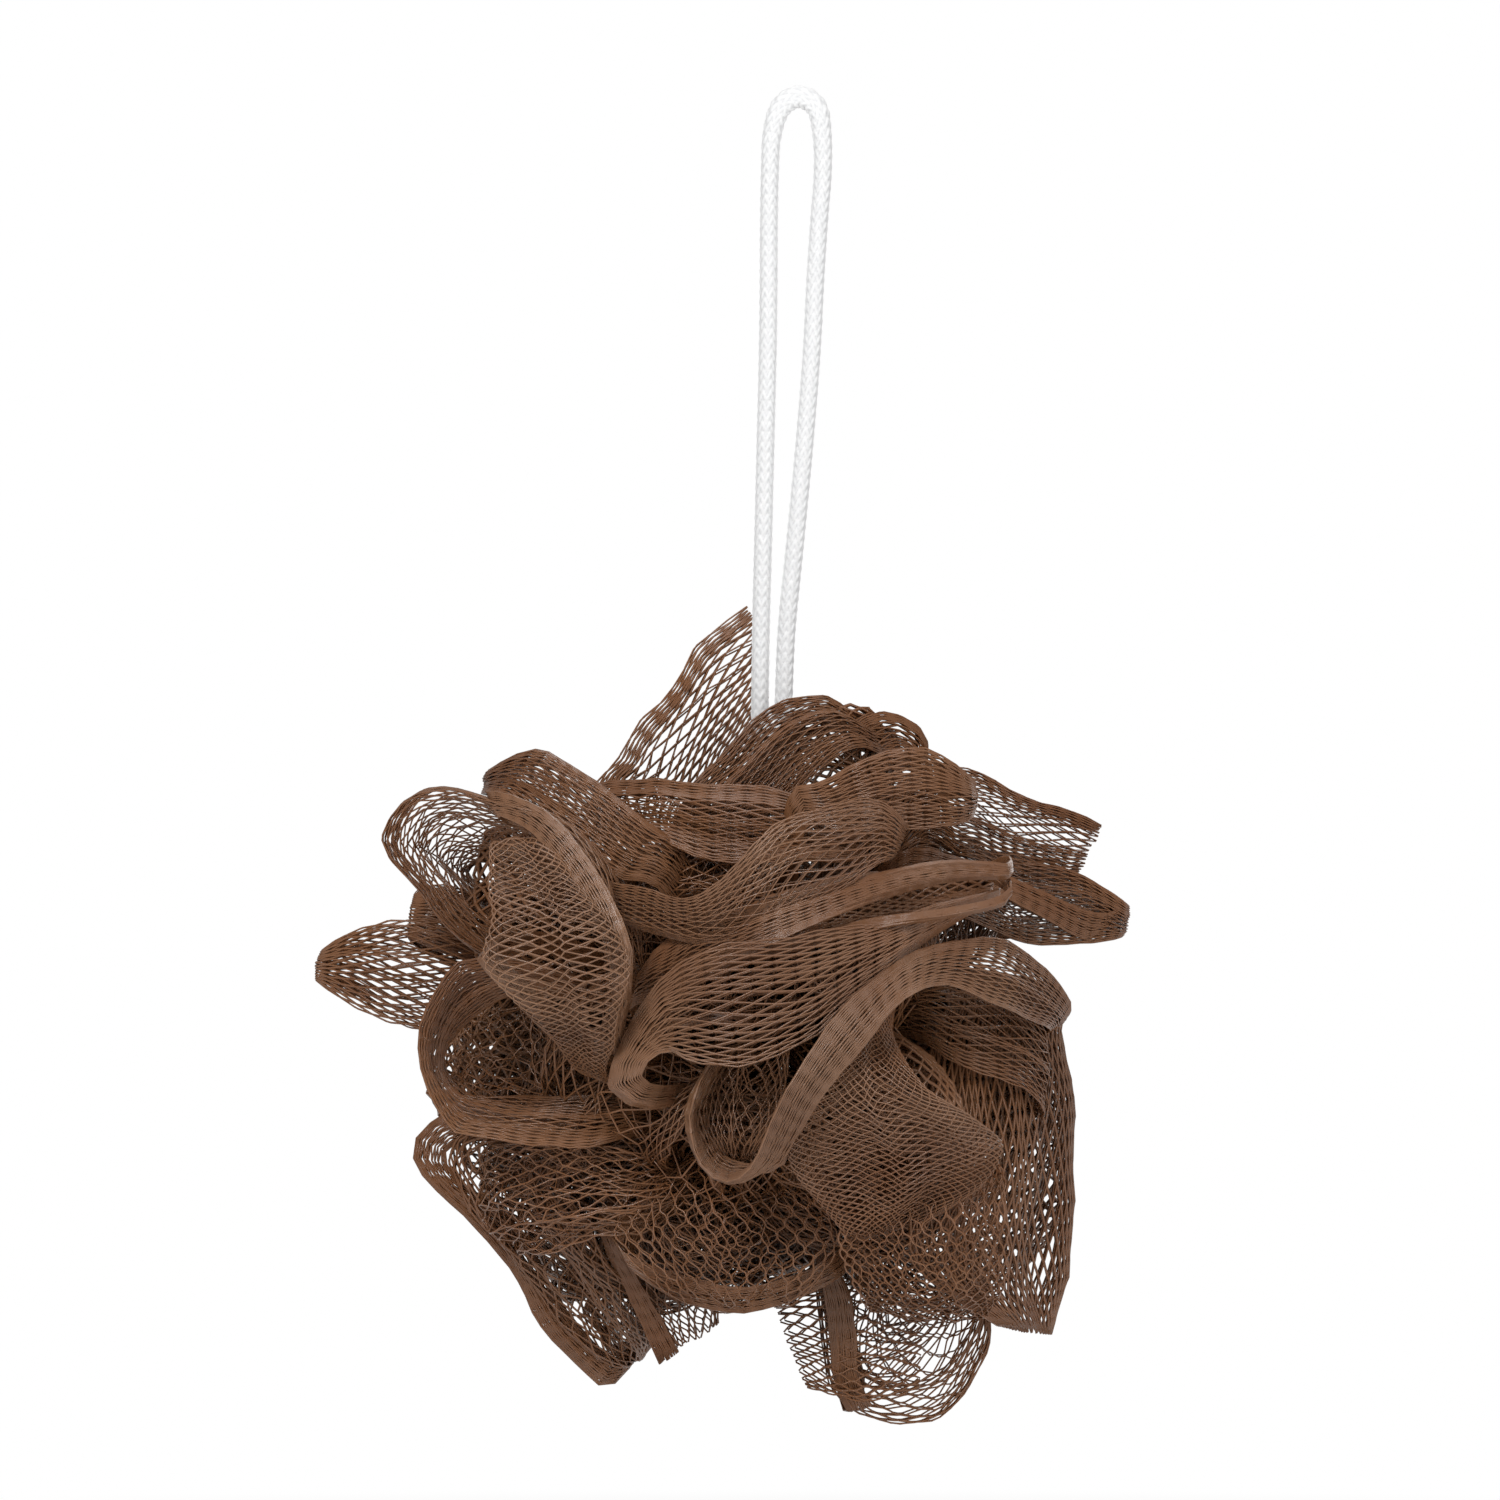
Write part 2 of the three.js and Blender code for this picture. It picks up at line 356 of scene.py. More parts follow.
# %% [markdown]
# A cut braid frays, so its ends are melted. The same tube closes over its last radius like a
# ball: its radius follows a quarter circle.

# %% Melted cord ends
END_FROM = 14.1  # mm from the waist's axis
END_TO = 23.1
END_SPLAY = math.radians(25)
TIP_LEFT = 0.02  # mm short of the very tip, where the last ring would shrink to a point


def melted_surface(turn, along, length):
    """The braid again, closing to a round, sealed tip."""
    left = np.clip(length - along, TIP_LEFT, CORD_R)
    return cord_surface(turn, along, length) * np.sqrt(1 - (1 - left / CORD_R) ** 2)


for side, sign in (("left", -1), ("right", 1)):
    down = np.array([sign * math.sin(END_SPLAY), 0, -math.cos(END_SPLAY)])
    line = smooth_line([waist + down * r for r in (END_FROM, (END_FROM + END_TO) / 2, END_TO)])
    name = f"melted_end_{side}"
    cords.append(add_cord(name, line, f"cord_end_{side}", surface=melted_surface))
    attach(cords[-1], "pouf")

# %% [markdown]
# ## The twine round the waist
#
# Three tight turns of two-ply brown twine hold the net together. Two plies twisted round each
# other make a rope with a waist of its own: its radius rises twice in a turn, and the rise
# winds along the twine. A helix carries it round.

# %% Twine
TWINE_R = 0.6
TWINE_TURNS = 3
TWINE_PITCH = 1.5
TWINE_RING_R = 9.9
TWINE_STEPS = 217
PLY_LAY = 2.4  # mm for a full twist of the two plies
PLY_RISE = 0.28  # how far the plies stand out, as a share of the radius
PLY_ROUNDNESS = 0.7


def twine_surface(turn, along, length):
    """Two plies, side by side and twisted."""
    ply = np.abs(np.cos(2 * np.pi * (turn - along / PLY_LAY)))
    return TWINE_R * (1 - PLY_RISE + PLY_RISE * ply**PLY_ROUNDNESS)


wind = np.linspace(0, 2 * np.pi * TWINE_TURNS, TWINE_STEPS)
across = (wind / wind[-1] - 0.5) * TWINE_TURNS * TWINE_PITCH
helix = np.stack([TWINE_RING_R * np.cos(wind), across, TWINE_RING_R * np.sin(wind)], axis=1) + waist
waist_binding, _ = modelled_tube("waist_binding", helix, twine_surface, sides=12, rings=4)
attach(waist_binding, "pouf")
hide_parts("waist_twine")

# %% [markdown]
# ## Net tube
#
# The net is extruded as a seamless tube: half of its strands wind to the left and half to the
# right, and each pair that meets is fused in a short node. So a length of it is a lattice on a
# tube, and the lobes are that tube, flattened, pleated and folded.
#
# A lobe is laid out by a few stations. Each station gives the two edges of the flattened tube,
# as (right, back, up) in mm from the middle of the waist. Between them the tube's two walls
# lie a little apart. Where the edges come close the cells close up into long slits, and where
# they spread the cells open into diamonds, exactly as the real net does.

# %% The net's own measures
NODE = 0.34  # half the length of a fused node
STRAND_R = 0.16
NECK_R = 3.5  # mm from the waist's axis to where a lobe goes under the twine
NECK_Y = 5.5
NECK_HALF = 2.5

# %% [markdown]
# The cord needs room to swing in the net. Colliding every strand with it would be slow, so the
# room is a shape round the upright axis: a pipe round the stems, a swelling round the knot and
# a funnel above it. A point inside is pressed out smoothly, and one far away hardly moves.

# %% Room for the cord
STEM_ROOM = 4.6  # mm round the cord's upright axis
KNOT_ROOM = 7.0
KNOT_SPREAD = 5.5  # mm up and down over which the room swells round the knot
FUNNEL_ROOM = 5.4
FUNNEL_SLOPE = 0.56  # how fast the room widens above the knot, where the legs swing
ROOM_FROM = 6.5  # mm above the waist
ROOM_FADE = 4.0  # mm over which it opens
PRESS = 5  # the higher, the closer to its own place a point outside stays
ON_AXIS = 0.05  # mm; a point nearer to the axis counts as this far from it
KNOT_UP = knot_centre[2] - waist[2]


def clear_of_cord(points):
    """Presses net that would lie in the cord's room out round it."""
    up = points[..., 2]
    room = STEM_ROOM + (KNOT_ROOM - STEM_ROOM) * np.exp(-(((up - KNOT_UP) / KNOT_SPREAD) ** 2))
    room = np.maximum(room, (FUNNEL_ROOM + FUNNEL_SLOPE * (up - KNOT_UP)) * (up > KNOT_UP))
    room = room * np.clip((up - ROOM_FROM) / ROOM_FADE, 0, 1)
    away = np.hypot(points[..., 0], points[..., 1])
    scale = (away**PRESS + room**PRESS) ** (1 / PRESS) / np.maximum(away, ON_AXIS)
    moved = points.copy()
    moved[..., 0] *= scale
    moved[..., 1] *= scale
    return moved


# %% [markdown]
# Soft net is never flat. Noise would look lumpy, while real pleats run along the tube, so each
# lobe gets a few sine waves across it, and their phase drifts slowly along it.

# %% Ripples of a soft sheet
class Ripples:
    """A few sine waves across and along a tube, of seeded phases."""

    QUARTER = 1.57  # a wave's phase from the middle of the tube to its edge
    ROUND = 6.28  # a whole wave's
    STRETCH = (0.8, 1.25)  # how far a wave may differ from its own number across

    def __init__(self, draw, sizes, drift):
        self.waves = []
        for count, size in sizes:
            phase = draw.uniform(0, self.ROUND)
            shift = draw.normal(0, drift)
            self.waves.append((count * draw.uniform(*self.STRETCH) * self.QUARTER, size, phase, shift))

    def at(self, across, along):
        """The ripple's height for places across the tube, from -1 to 1, and along it, in mm."""
        return sum(
            size * np.sin(often * across + phase + shift * along)
            for often, size, phase, shift in self.waves
        )


# %% [markdown]
# A lobe's ripples are of several kinds. Pleats and lumps lift the net off its flat, curls make
# the two walls differ, bunching draws the strands together in bands, stretching pulls them
# along the tube, and each hem wavers on its own. The numbers are waves across and their size.

# %% The kinds of ripple
RIPPLES = {  # name: (waves across, size in mm or as a share), drift along in radians per mm
    "pleats": ([(2, 1.4), (3, 1.2), (5, 0.8), (8, 0.55), (13, 0.3)], 0.05),
    "lumps": ([(1, 0.9), (2, 0.8), (4, 0.5)], 0.22),
    "curls": ([(6, 0.5), (9, 0.4), (13, 0.3)], 0.5),
    "bunching": ([(2, 0.13), (4, 0.07), (7, 0.04)], 0.04),
    "stretching": ([(1, 1.1), (3, 0.7), (6, 0.35)], 0.12),
    "first_hem": ([(1, 0.5), (1, 0.35), (1, 0.2)], 0.3),
    "second_hem": ([(1, 0.5), (1, 0.35), (1, 0.2)], 0.3),
}
print("ripples:", ", ".join(RIPPLES))

# %% [markdown]
# One object holds a lobe: its two edges as smooth lines, its ripples, and how its net falls.
# gape is how far the walls lie apart, crumple how lively the ripples are, row the length of
# half a cell, rim how much net is rolled into the edges, and bundle how many strands are drawn
# as one. An end that isn't cut leads back under the twine, through a neck.

# %% A flattened tube between two edges
NECK_LENGTH = 16.0  # mm over which a lobe opens out of its neck


class Lobe:
    """One flattened, pleated stretch of net tube."""

    def __init__(self, edges, seed, gape=1.8, crumple=0.35, cut_end=False, cut_start=False,
                 strands=36, row=2.7, fused=True, rim=0.5, node=NODE, bundle=1.0):
        self.rng = np.random.default_rng(seed)
        self.gape, self.crumple, self.rim = gape, crumple, rim
        self.strands, self.row, self.fused = strands, row, fused
        self.node, self.bundle = node, bundle
        self.open_start, self.open_end = cut_start, cut_end
        stations = [np.array([*a, *b], float) for a, b in edges]
        if not cut_start:
            stations.insert(0, self.neck(stations[0]))
        if not cut_end:
            stations.append(self.neck(stations[-1]))
        self.edges = smooth_line(stations)
        centre = (self.edges[:, :3] + self.edges[:, 3:]) / 2
        self.along = distance_along(centre)
        self.length = self.along[-1]
        self.slope = unit(np.gradient(centre, axis=0))
        self.ripples = {kind: Ripples(self.rng, *sizes) for kind, sizes in RIPPLES.items()}

    @staticmethod
    def neck(station):
        """Where the tube goes under the twine, on the side that the lobe comes from."""
        a, b = station[:3], station[3:]
        out = unit(np.array([(a + b)[0], 0, (a + b)[2]]))
        sideways = np.cross(out, (0, 1, 0)) * NECK_HALF
        if sideways @ (b - a) < 0:
            sideways = -sideways
        root = out * NECK_R + (0, math.copysign(NECK_Y, (a + b)[1] or 1), 0)
        return np.concatenate([root - sideways, root + sideways])

    def fullness(self, along):
        """From 0 at a tied end to 1 in the open lobe."""
        start = np.where(self.open_start, 1, along / NECK_LENGTH)
        end = np.where(self.open_end, 1, (self.length - along) / NECK_LENGTH)
        return np.clip(np.minimum(start, end), 0, 1)


# %% [markdown]
# A point of the lattice is found in three steps: how far across the flattened tube it lies,
# with the bunching; how far it is lifted off the flat; and then where that is in space. The
# walls close up where the lobe is narrow, and every ripple dies away towards the necks.

# %% Places on a lobe
FULL_HALF = 13.0  # mm of half width from which a lobe ripples in full
LEAST, MOST = 0.12, 1.25  # the least and the most of it
WALL_LEAST = 0.25  # the share of the gape that a narrow lobe keeps
WALL_RIPPLE = 0.5
BUNCH_LEAST = 0.4
HEM_LEAST = 0.3
HEM_HALF = 5  # mm of half width below which a hem wavers by a share, not by mm
SKEW = 0.3  # how far the two walls' stretching differs


def across_of(lobe, turn, along):
    """How far across the flattened tube, from -1 to 1, before the hems waver."""
    flat = 1 - 4 * np.abs((turn % 1) - 0.5)
    across = (1 - lobe.rim) * flat - lobe.rim * np.cos(2 * np.pi * turn)
    inside = (1 - across**2) * lobe.fullness(along)
    bunching = lobe.ripples["bunching"].at(across, along) * inside
    return across + bunching * min(1, BUNCH_LEAST + lobe.crumple), inside


def lift_of(lobe, front, across, along, width):
    """How far a point stands off the flat, in mm."""
    ripple = {kind: each.at for kind, each in lobe.ripples.items()}
    size = np.clip(width / FULL_HALF, LEAST, MOST) * lobe.fullness(along)
    lift = ripple["pleats"](across, along) + ripple["lumps"](across, along)
    lift = (lift + ripple["curls"](across + front, along) * lobe.crumple) * lobe.crumple * size
    uneven = 1 + WALL_RIPPLE * lobe.crumple * ripple["lumps"](across + 2, along)
    return lift + front * lobe.gape * (WALL_LEAST + (1 - WALL_LEAST) * size) * uneven


def hem_of(lobe, across, along):
    """How far a hem wavers in or out, in mm."""
    first, second = lobe.ripples["first_hem"], lobe.ripples["second_hem"]
    waver = np.where(across < 0, first.at(0, along), second.at(0, along)) * across**2
    return waver * (HEM_LEAST + lobe.crumple) * lobe.fullness(along)


def place_on(lobe, turn, along):
    """Points on the tube: turn is in whole turns round it, along in mm."""
    front = np.sin(2 * np.pi * turn)
    across, inside = across_of(lobe, turn, along)
    pull = lobe.ripples["stretching"].at(across + SKEW * front, along) * inside * lobe.crumple
    shifted = np.clip(along + pull, 0, lobe.length)
    edge = at_distances(lobe.edges, lobe.along, shifted)
    slope = unit(at_distances(lobe.slope, lobe.along, shifted))
    half = (edge[..., 3:] - edge[..., :3]) / 2
    width = np.linalg.norm(half, axis=-1)
    normal = unit(np.cross(slope, half))
    lift = lift_of(lobe, front, across, along, width)
    reach = across + hem_of(lobe, across, along) / np.maximum(width, HEM_HALF)
    middle_line = (edge[..., :3] + edge[..., 3:]) / 2
    return clear_of_cord(middle_line + half * reach[..., None] + normal * lift[..., None])


# %% [markdown]
# ## Strands
#
# The strands of a lobe are worked out on its lattice. Row after row, a strand passes from node
# to node, each time half a cell further round the tube. The nodes are nudged a little, both
# strands of a node alike, because no two cells of the real net are the same.

# %% The strands of a lobe
NUDGE_ROUND = 0.16  # of a cell
NUDGE_ALONG = 0.25  # mm
NODE_TWIST = 0.07  # of a cell, how far a strand still moves round inside a node


def strands_of(lobe):
    """The strands' points in mm from the waist, and their place on the flattened tube."""
    rows = max(4, int(lobe.length / lobe.row))
    pitch = lobe.length / rows
    nudge = lobe.rng.normal(0, 1, (2, rows + 1, lobe.strands))
    row = np.arange(rows + 1)
    found = []
    for lean in (1, -1):
        for strand in range(lobe.strands):
            turn = (strand + lean * row / 2) / lobe.strands
            column = np.round(turn * lobe.strands - (row % 2) / 2).astype(int) % lobe.strands
            turn = turn + nudge[0, row, column] * lobe.crumple * NUDGE_ROUND / lobe.strands
            along = row * pitch + nudge[1, row, column] * lobe.crumple * NUDGE_ALONG
            if lobe.fused:
                step = lean * NODE_TWIST / lobe.strands
                along = np.stack([along - lobe.node, along + lobe.node], axis=1).ravel()[1:-1]
                turn = np.stack([turn - step, turn + step], axis=1).ravel()[1:-1]
            along = np.clip(along, 0, lobe.length)
            found.append((place_on(lobe, turn, along), along / lobe.length, turn))
    return found


# %% [markdown]
# A strand is thinner than half a millimetre and there are thousands, so each gets the fewest
# faces that still catch the light: a section with three sides. A curve with a bevel object
# sweeps it along all the strands of a piece at once.

# %% Sweeping the strands
SECTION_SIDES = 3


def strand_section():
    """The three-sided section that every strand is swept with."""
    curve = bpy.data.curves.new("strand_section", "CURVE")
    spline = curve.splines.new("POLY")
    spline.points.add(SECTION_SIDES - 1)
    for i, point in enumerate(spline.points):
        turn = -2 * math.pi * i / SECTION_SIDES
        point.co = (STRAND_R * MM * math.cos(turn), STRAND_R * MM * math.sin(turn), 0, 1)
    spline.use_cyclic_u = True
    section = bpy.data.objects.new("strand_section", curve)
    bpy.context.scene.collection.objects.link(section)
    return section


def add_strand(curve, points, thickness):
    """One strand, through points in mm from the waist."""
    spline = curve.splines.new("POLY")
    spline.points.add(len(points) - 1)
    places = np.ones((len(points), 4), np.float32)
    places[:, :3] = (points + waist) * MM
    spline.points.foreach_set("co", places.ravel())
    spline.points.foreach_set("radius", np.full(len(points), thickness, np.float32))


def swept_mesh(curve):
    """The mesh of a curve with its section swept along it. The curve goes."""
    drawn = bpy.data.objects.new(curve.name, curve)
    bpy.context.scene.collection.objects.link(drawn)
    bpy.context.view_layer.update()
    depsgraph = bpy.context.evaluated_depsgraph_get()
    mesh = bpy.data.meshes.new_from_object(drawn.evaluated_get(depsgraph))
    bpy.data.objects.remove(drawn)
    bpy.data.curves.remove(curve)
    return mesh


section = strand_section()

# %% [markdown]
# The sweep leaves the strands open at both ends. A hole with three edges is one face, and an
# operator fills them all. The UV map runs along the tube one way and across it the other, with
# a band to a lobe, so that neighbours on the net are neighbours on the map.

# %% Closed ends and the map
BAND_MARGIN = 0.05  # of a lobe's band


def close_ends(mesh):
    """Caps the open ends of the strands."""
    shape = bmesh.new()
    shape.from_mesh(mesh)
    open_edges = [edge for edge in shape.edges if edge.is_boundary]
    bmesh.ops.holes_fill(shape, edges=open_edges, sides=SECTION_SIDES)
    shape.to_mesh(mesh)
    shape.free()


def map_of(share, turns, band, bands):
    """The UV places of one strand's vertices."""
    wall = 1 - np.abs(2 * (turns % 1) - 1)
    across = (band + BAND_MARGIN + (1 - 2 * BAND_MARGIN) * wall) / bands
    return np.repeat(np.stack([share, across], axis=1), SECTION_SIDES, axis=0)


def lay_map(mesh, places):
    """Gives the mesh its one UV map."""
    for layer in list(mesh.uv_layers):
        mesh.uv_layers.remove(layer)
    corner = np.empty(len(mesh.loops), np.int32)
    mesh.loops.foreach_get("vertex_index", corner)
    layer = mesh.uv_layers.new(name="OFBake")
    layer.uv.foreach_set("vector", places[corner].astype(np.float32).ravel())


# %% [markdown]
# A piece of netting is all the strands of some lobes as one mesh.

# %% A piece of netting
def netting(name, lobes):
    """A piece made of lobes, and the length of its strands in mm."""
    curve = bpy.data.curves.new(name, "CURVE")
    curve.dimensions = "3D"
    curve.bevel_mode = "OBJECT"
    curve.bevel_object = section
    map_places, total = [], 0.0
    for band, each in enumerate(lobes):
        for points, share, turns in strands_of(each):
            add_strand(curve, points, each.bundle)
            total += distance_along(points)[-1] * each.bundle
            map_places.append(map_of(share, turns, band, len(lobes)))
    mesh = swept_mesh(curve)
    mesh.name = name
    close_ends(mesh)
    mesh.shade_smooth()
    lay_map(mesh, np.vstack(map_places))
    piece = bpy.data.objects.new(name, mesh)
    bpy.context.scene.collection.objects.link(piece)
    return piece, total


# %% [markdown]
# ## The front lobes
#
# A pouf is never regular: each fold falls where the hand left it. So the lobes of the front are
# set out one by one, starting at the upper left and going round. The first edge is the outer or
# upper one, and the last station of a lobe without an open end leads back to the waist.
#
# A few habits come back in many lobes. A strap is a tube drawn out lengthways, so that its cells
# are closed. A wide net is drawn out crossways. An open one is slack enough to see through, and
# a lining is the doubled net that darkens the inside of a fold.

# %% How a lobe's net lies
LOBES = {}
STRAP = {"gape": 0.9, "crumple": 0.3, "row": 2.7, "fused": False, "strands": 30}
WIDE = {"strands": 24, "row": 0.85, "rim": 0.7, "gape": 1.2, "crumple": 0.3, "fused": False}
OPEN = {"strands": 22, "row": 2.0, "node": 0.55, "rim": 0.7, "gape": 1.2, "crumple": 0.3}
LINING = {"strands": 24, "row": 1.3, "gape": 2.4, "crumple": 0.5, "fused": False, "bundle": 2.0}
TANGLED = {"strands": 24, "row": 2.4, "gape": 2.6, "crumple": 0.8, "node": 0.6}


def lobe(name, length, *edges, **habits):
    """Notes a lobe: its net length's number, its stations, and how it falls."""
    LOBES[name] = {"length": length, "edges": edges, "habits": habits}


# %% [markdown]
# The left half has a ring that stands open at the top, a cup that faces you below it, a point
# that sticks out, a bowl with a rolled rim, and a tail with a small tongue at the bottom. Where
# a lobe's edge shows as a band of its own, that band is a strap or hem laid along it.

# %% Front lobes, left half
lobe("ring", 4, ((-22, -36, 12), (-16, -12, 9)), ((-28, -42, 30), (-21, -14, 22)),
     ((-37, -40, 40), (-29, -10, 30)), ((-46, -34, 43), (-38, -2, 32)),
     ((-57, -26, 43), (-46, 4, 33)), ((-62, -22, 36), (-49, 6, 30)),
     ((-56, -22, 28), (-46, 4, 26)), ((-48, -22, 20), (-40, 2, 21)),
     ((-30, -16, 12), (-26, 2, 12)), gape=2.0, rim=0.7, crumple=0.3)
lobe("ring_strap", 4, ((-30, -20, 34), (-28, -20, 30)), ((-45, -32, 43), (-43, -33, 39)),
     ((-36.5, -39, 41), (-38, -40, 37)), ((-27.5, -44, 31), (-31, -46, 29)),
     ((-22.5, -48, 20), (-26, -51, 18.5)), ((-22, -47, 12), (-25, -50, 11)),
     ((-22, -36, 3), (-24, -38, 1)), **STRAP)
lobe("cup", 5, ((-30, -20, 20), (-22, -18, 24)), ((-43, -36, 35), (-36, -38, 36)),
     ((-44.5, -44, 30), (-31, -46, 30)), ((-44, -49, 24), (-26, -50, 24)),
     ((-45.5, -51, 17), (-23, -52, 18)), ((-41, -49, 11), (-23, -53, 12)),
     ((-35, -42, 5), (-25, -46, 4)), ((-27, -27, -2), (-24, -30, -3)),
     **WIDE | {"strands": 15, "row": 0.75, "rim": 0.85, "gape": 0.8})
lobe("cup_hem", 5, ((-30, -26, 16), (-29, -26, 19)), ((-42, -40, 18), (-41, -42, 21)),
     ((-46.5, -47, 17), (-43, -50, 18)), ((-40, -46, 10), (-37, -48, 12)),
     ((-34, -41, 4), (-31, -43, 7)), ((-27, -34, 0), (-25, -36, 3)),
     ((-22, -24, -4), (-21, -26, -1)), **STRAP)
lobe("cup_lining", 5, ((-24, -10, 26), (-24, -10, 12)), ((-36, -14, 36), (-38, -16, 12)),
     ((-45, -8, 37), (-47, -8, 13)), ((-36, 2, 32), (-38, 2, 14)), **LINING)
lobe("point", 5, ((-35, -4, 18), (-35, -4, 2)), ((-50, -6, 22), (-50, -6, 4)),
     ((-60, -6, 23), (-60, -6, 6)), ((-67, -3, 21), (-68, -3, 10)), ((-72, 2, 18), (-73, 2, 13)),
     ((-66, 8, 21), (-67, 8, 10)), ((-56, 12, 22), (-56, 12, 5)), ((-36, 12, 18), (-36, 12, 2)),
     strands=28, gape=1.2, crumple=0.2)
lobe("nook", 4, ((-36, 4, 24), (-36, 2, 14)), ((-50, 2, 28), (-50, 0, 17)),
     ((-57, 4, 27), (-58, 2, 20)), ((-52, 12, 28), (-52, 12, 16)), ((-36, 14, 22), (-36, 14, 12)),
     gape=1.2, crumple=0.2)
lobe("bowl_rim", 5, ((-30, -24, 14), (-27, -20, 9)), ((-45, -29, 17), (-40, -22, 11)),
     ((-51.5, -29, 14.5), (-46, -20, 8.5)), ((-55.5, -28, 7), (-51, -17, 3.5)),
     ((-55.8, -28, 0), (-52, -15, -1)), ((-53, -28, -7), (-48, -15, -5)),
     ((-49, -30, -11), (-41, -18, -5)), ((-38, -31, -12.5), (-33, -24, -5)),
     ((-24, -28, -12), (-21, -24, -4)), gape=1.4, crumple=0.25, row=2.8, fused=False)
lobe("bowl_face", 5, ((-34, -12, 14), (-24, -16, 14)), ((-48, -12, 10), (-24, -18, 8)),
     ((-52, -12, 3), (-21, -20, 2)), ((-51, -14, -4), (-20, -20, -4)),
     ((-44, -20, -9), (-20, -22, -9)), ((-32, -12, -10), (-20, -12, -10)), strands=26, row=1.6,
     rim=0.6, gape=2.0, crumple=0.7, node=0.5)
lobe("bowl_lining", 5, ((-22, -8, 14), (-22, -8, -12)), ((-38, -6, 16), (-38, -6, -14)),
     ((-51, -3, 11), (-51, -3, -10)), ((-51, 4, 9), (-50, 4, -10)),
     ((-30, 10, 14), (-30, 10, -12)), **LINING)
lobe("second_loop", 4, ((-13, -24, 32), (-16, -30, 26)), ((-19, -28, 38), (-24, -32, 30)),
     ((-29, -24, 46), (-33, -30, 36)), ((-37, -18, 50), (-42, -24, 42)),
     ((-45, -12, 47), (-46, -14, 43)), ((-38, -4, 49), (-40, -4, 41)),
     ((-26, 0, 42), (-30, 0, 34)), ((-12, 2, 24), (-16, 2, 20)), gape=1.4, row=2.8, fused=False)
lobe("tail_hem", 6, ((-34, -12, -8), (-32, -12, -12)), ((-50, -10, -7), (-47, -10, -12)),
     ((-57, -8, -12.5), (-52, -8, -14.5)), ((-55, -8, -18.5), (-50, -8, -18.5)),
     ((-46.5, -6, -27), (-42, -7, -24.5)), ((-41, -4, -34.5), (-37, -5, -32)),
     ((-36.5, -2, -42.5), (-32.5, -3, -40)), ((-31, 2, -48.5), (-28, 0, -45)),
     ((-25.5, 6, -52), (-24, 4, -47.5)), ((-19, 8, -43), (-21, 6, -41)),
     ((-12, 6, -26), (-15, 6, -26)), **STRAP)
lobe("tail", 6, ((-34, -14, -9), (-24, -20, -14)), ((-50, -10, -11), (-32, -18, -18)),
     ((-50, -8, -20), (-28, -16, -27)), ((-42, -6, -30), (-24, -14, -34)),
     ((-35, -2, -40), (-20, -8, -40)), ((-28, 2, -47), (-19, -2, -44)),
     ((-24, 8, -48), (-20, 6, -46)), ((-30, 14, -40), (-18, 10, -36)),
     ((-20, 12, -24), (-10, 8, -20)), strands=26, row=2.0, gape=1.6, crumple=0.6, rim=0.7,
     bundle=1.35)
lobe("tongue", 6, ((-24, -12, -22), (-14, -14, -20)), ((-26, -13, -29), (-15, -15, -27)),
     ((-23, -12, -35.5), (-12, -16, -33)), ((-20, -10, -41.5), (-8.5, -14, -37.5)),
     ((-16.5, -8, -47), (-8, -12, -41.5)), cut_end=True, **OPEN)
lobe("tongue_hem", 6, ((-26, -14, -22), (-23, -14, -22)), ((-27, -15, -28), (-24, -15, -29)),
     ((-24, -14, -34.5), (-21, -14, -34.5)), ((-21, -12, -41), (-18, -12, -40)),
     ((-17.8, -10, -48), (-14.8, -10, -46)), cut_end=True, **STRAP)
lobe("curls", 6, ((-16, -26, -13), (-16, -24, -24)), ((-28, -28, -13), (-28, -26, -28)),
     ((-40, -24, -12), (-38, -18, -30)), ((-46, -14, -14), (-40, -8, -30)),
     ((-34, -6, -14), (-30, -4, -28)), **TANGLED)
lobe("curls_lining", 6, ((-14, -12, -12), (-12, -10, -28)), ((-32, -12, -11), (-24, -10, -36)),
     ((-45, -4, -14), (-32, -2, -38)), ((-44, 4, -16), (-30, 4, -38)),
     ((-28, 10, -14), (-18, 10, -34)), **LINING)
print("left half:", len(LOBES), "lobes")

# %% [markdown]
# Round the cord stand a flap with a cut end that leans on it, a crown, a knob and a veil. A
# ribbon and a cut wing go off to the right, over a fold that closes like a beak.

# %% Front lobes, top
lobe("flap", 3, ((-16, 4, 24), (-6, 4, 20)), ((-28, 4, 42), (-12, 3, 36)),
     ((-24, 6, 49.5), (-9, 6, 43)), ((-18, 9, 58), (-6, 9, 49)), ((-11, 14, 66.5), (-3, 12, 54)),
     ((-3.3, 19, 73.5), (-0.5, 15, 58)), gape=1.4, cut_end=True, crumple=0.35, row=3.0, rim=0.4)
lobe("crown", 3, ((-16, -10, 30), (-12, -16, 24)), ((-14, -18, 42), (-8, -24, 34)),
     ((-8, -17, 50), (2, -22, 42)), ((0, -15, 57), (8, -20, 47)), ((8, -13, 59), (13, -18, 50)),
     ((14, -9, 55), (17, -14, 49)), ((20, -2, 52), (20, -6, 48)), ((16, 6, 44), (16, 4, 38)),
     gape=1.6)
lobe("crown_lining", 3, ((-14, -12, 34), (-4, -13, 26)), ((-8, -14, 47), (4, -15, 36)),
     ((0, -13, 54), (10, -13, 40)), ((9, -12, 57), (16, -11, 40)), ((16, -8, 51), (20, -7, 38)),
     **LINING)
lobe("knob", 2, ((10, -12, 40), (17, -6, 36)), ((12, -13, 53), (19, -9, 46)),
     ((19, -9, 56), (22, -6, 47)), ((25, -5, 51), (23, -3, 44)), ((20, 0, 40), (18, 2, 36)),
     gape=1.8)
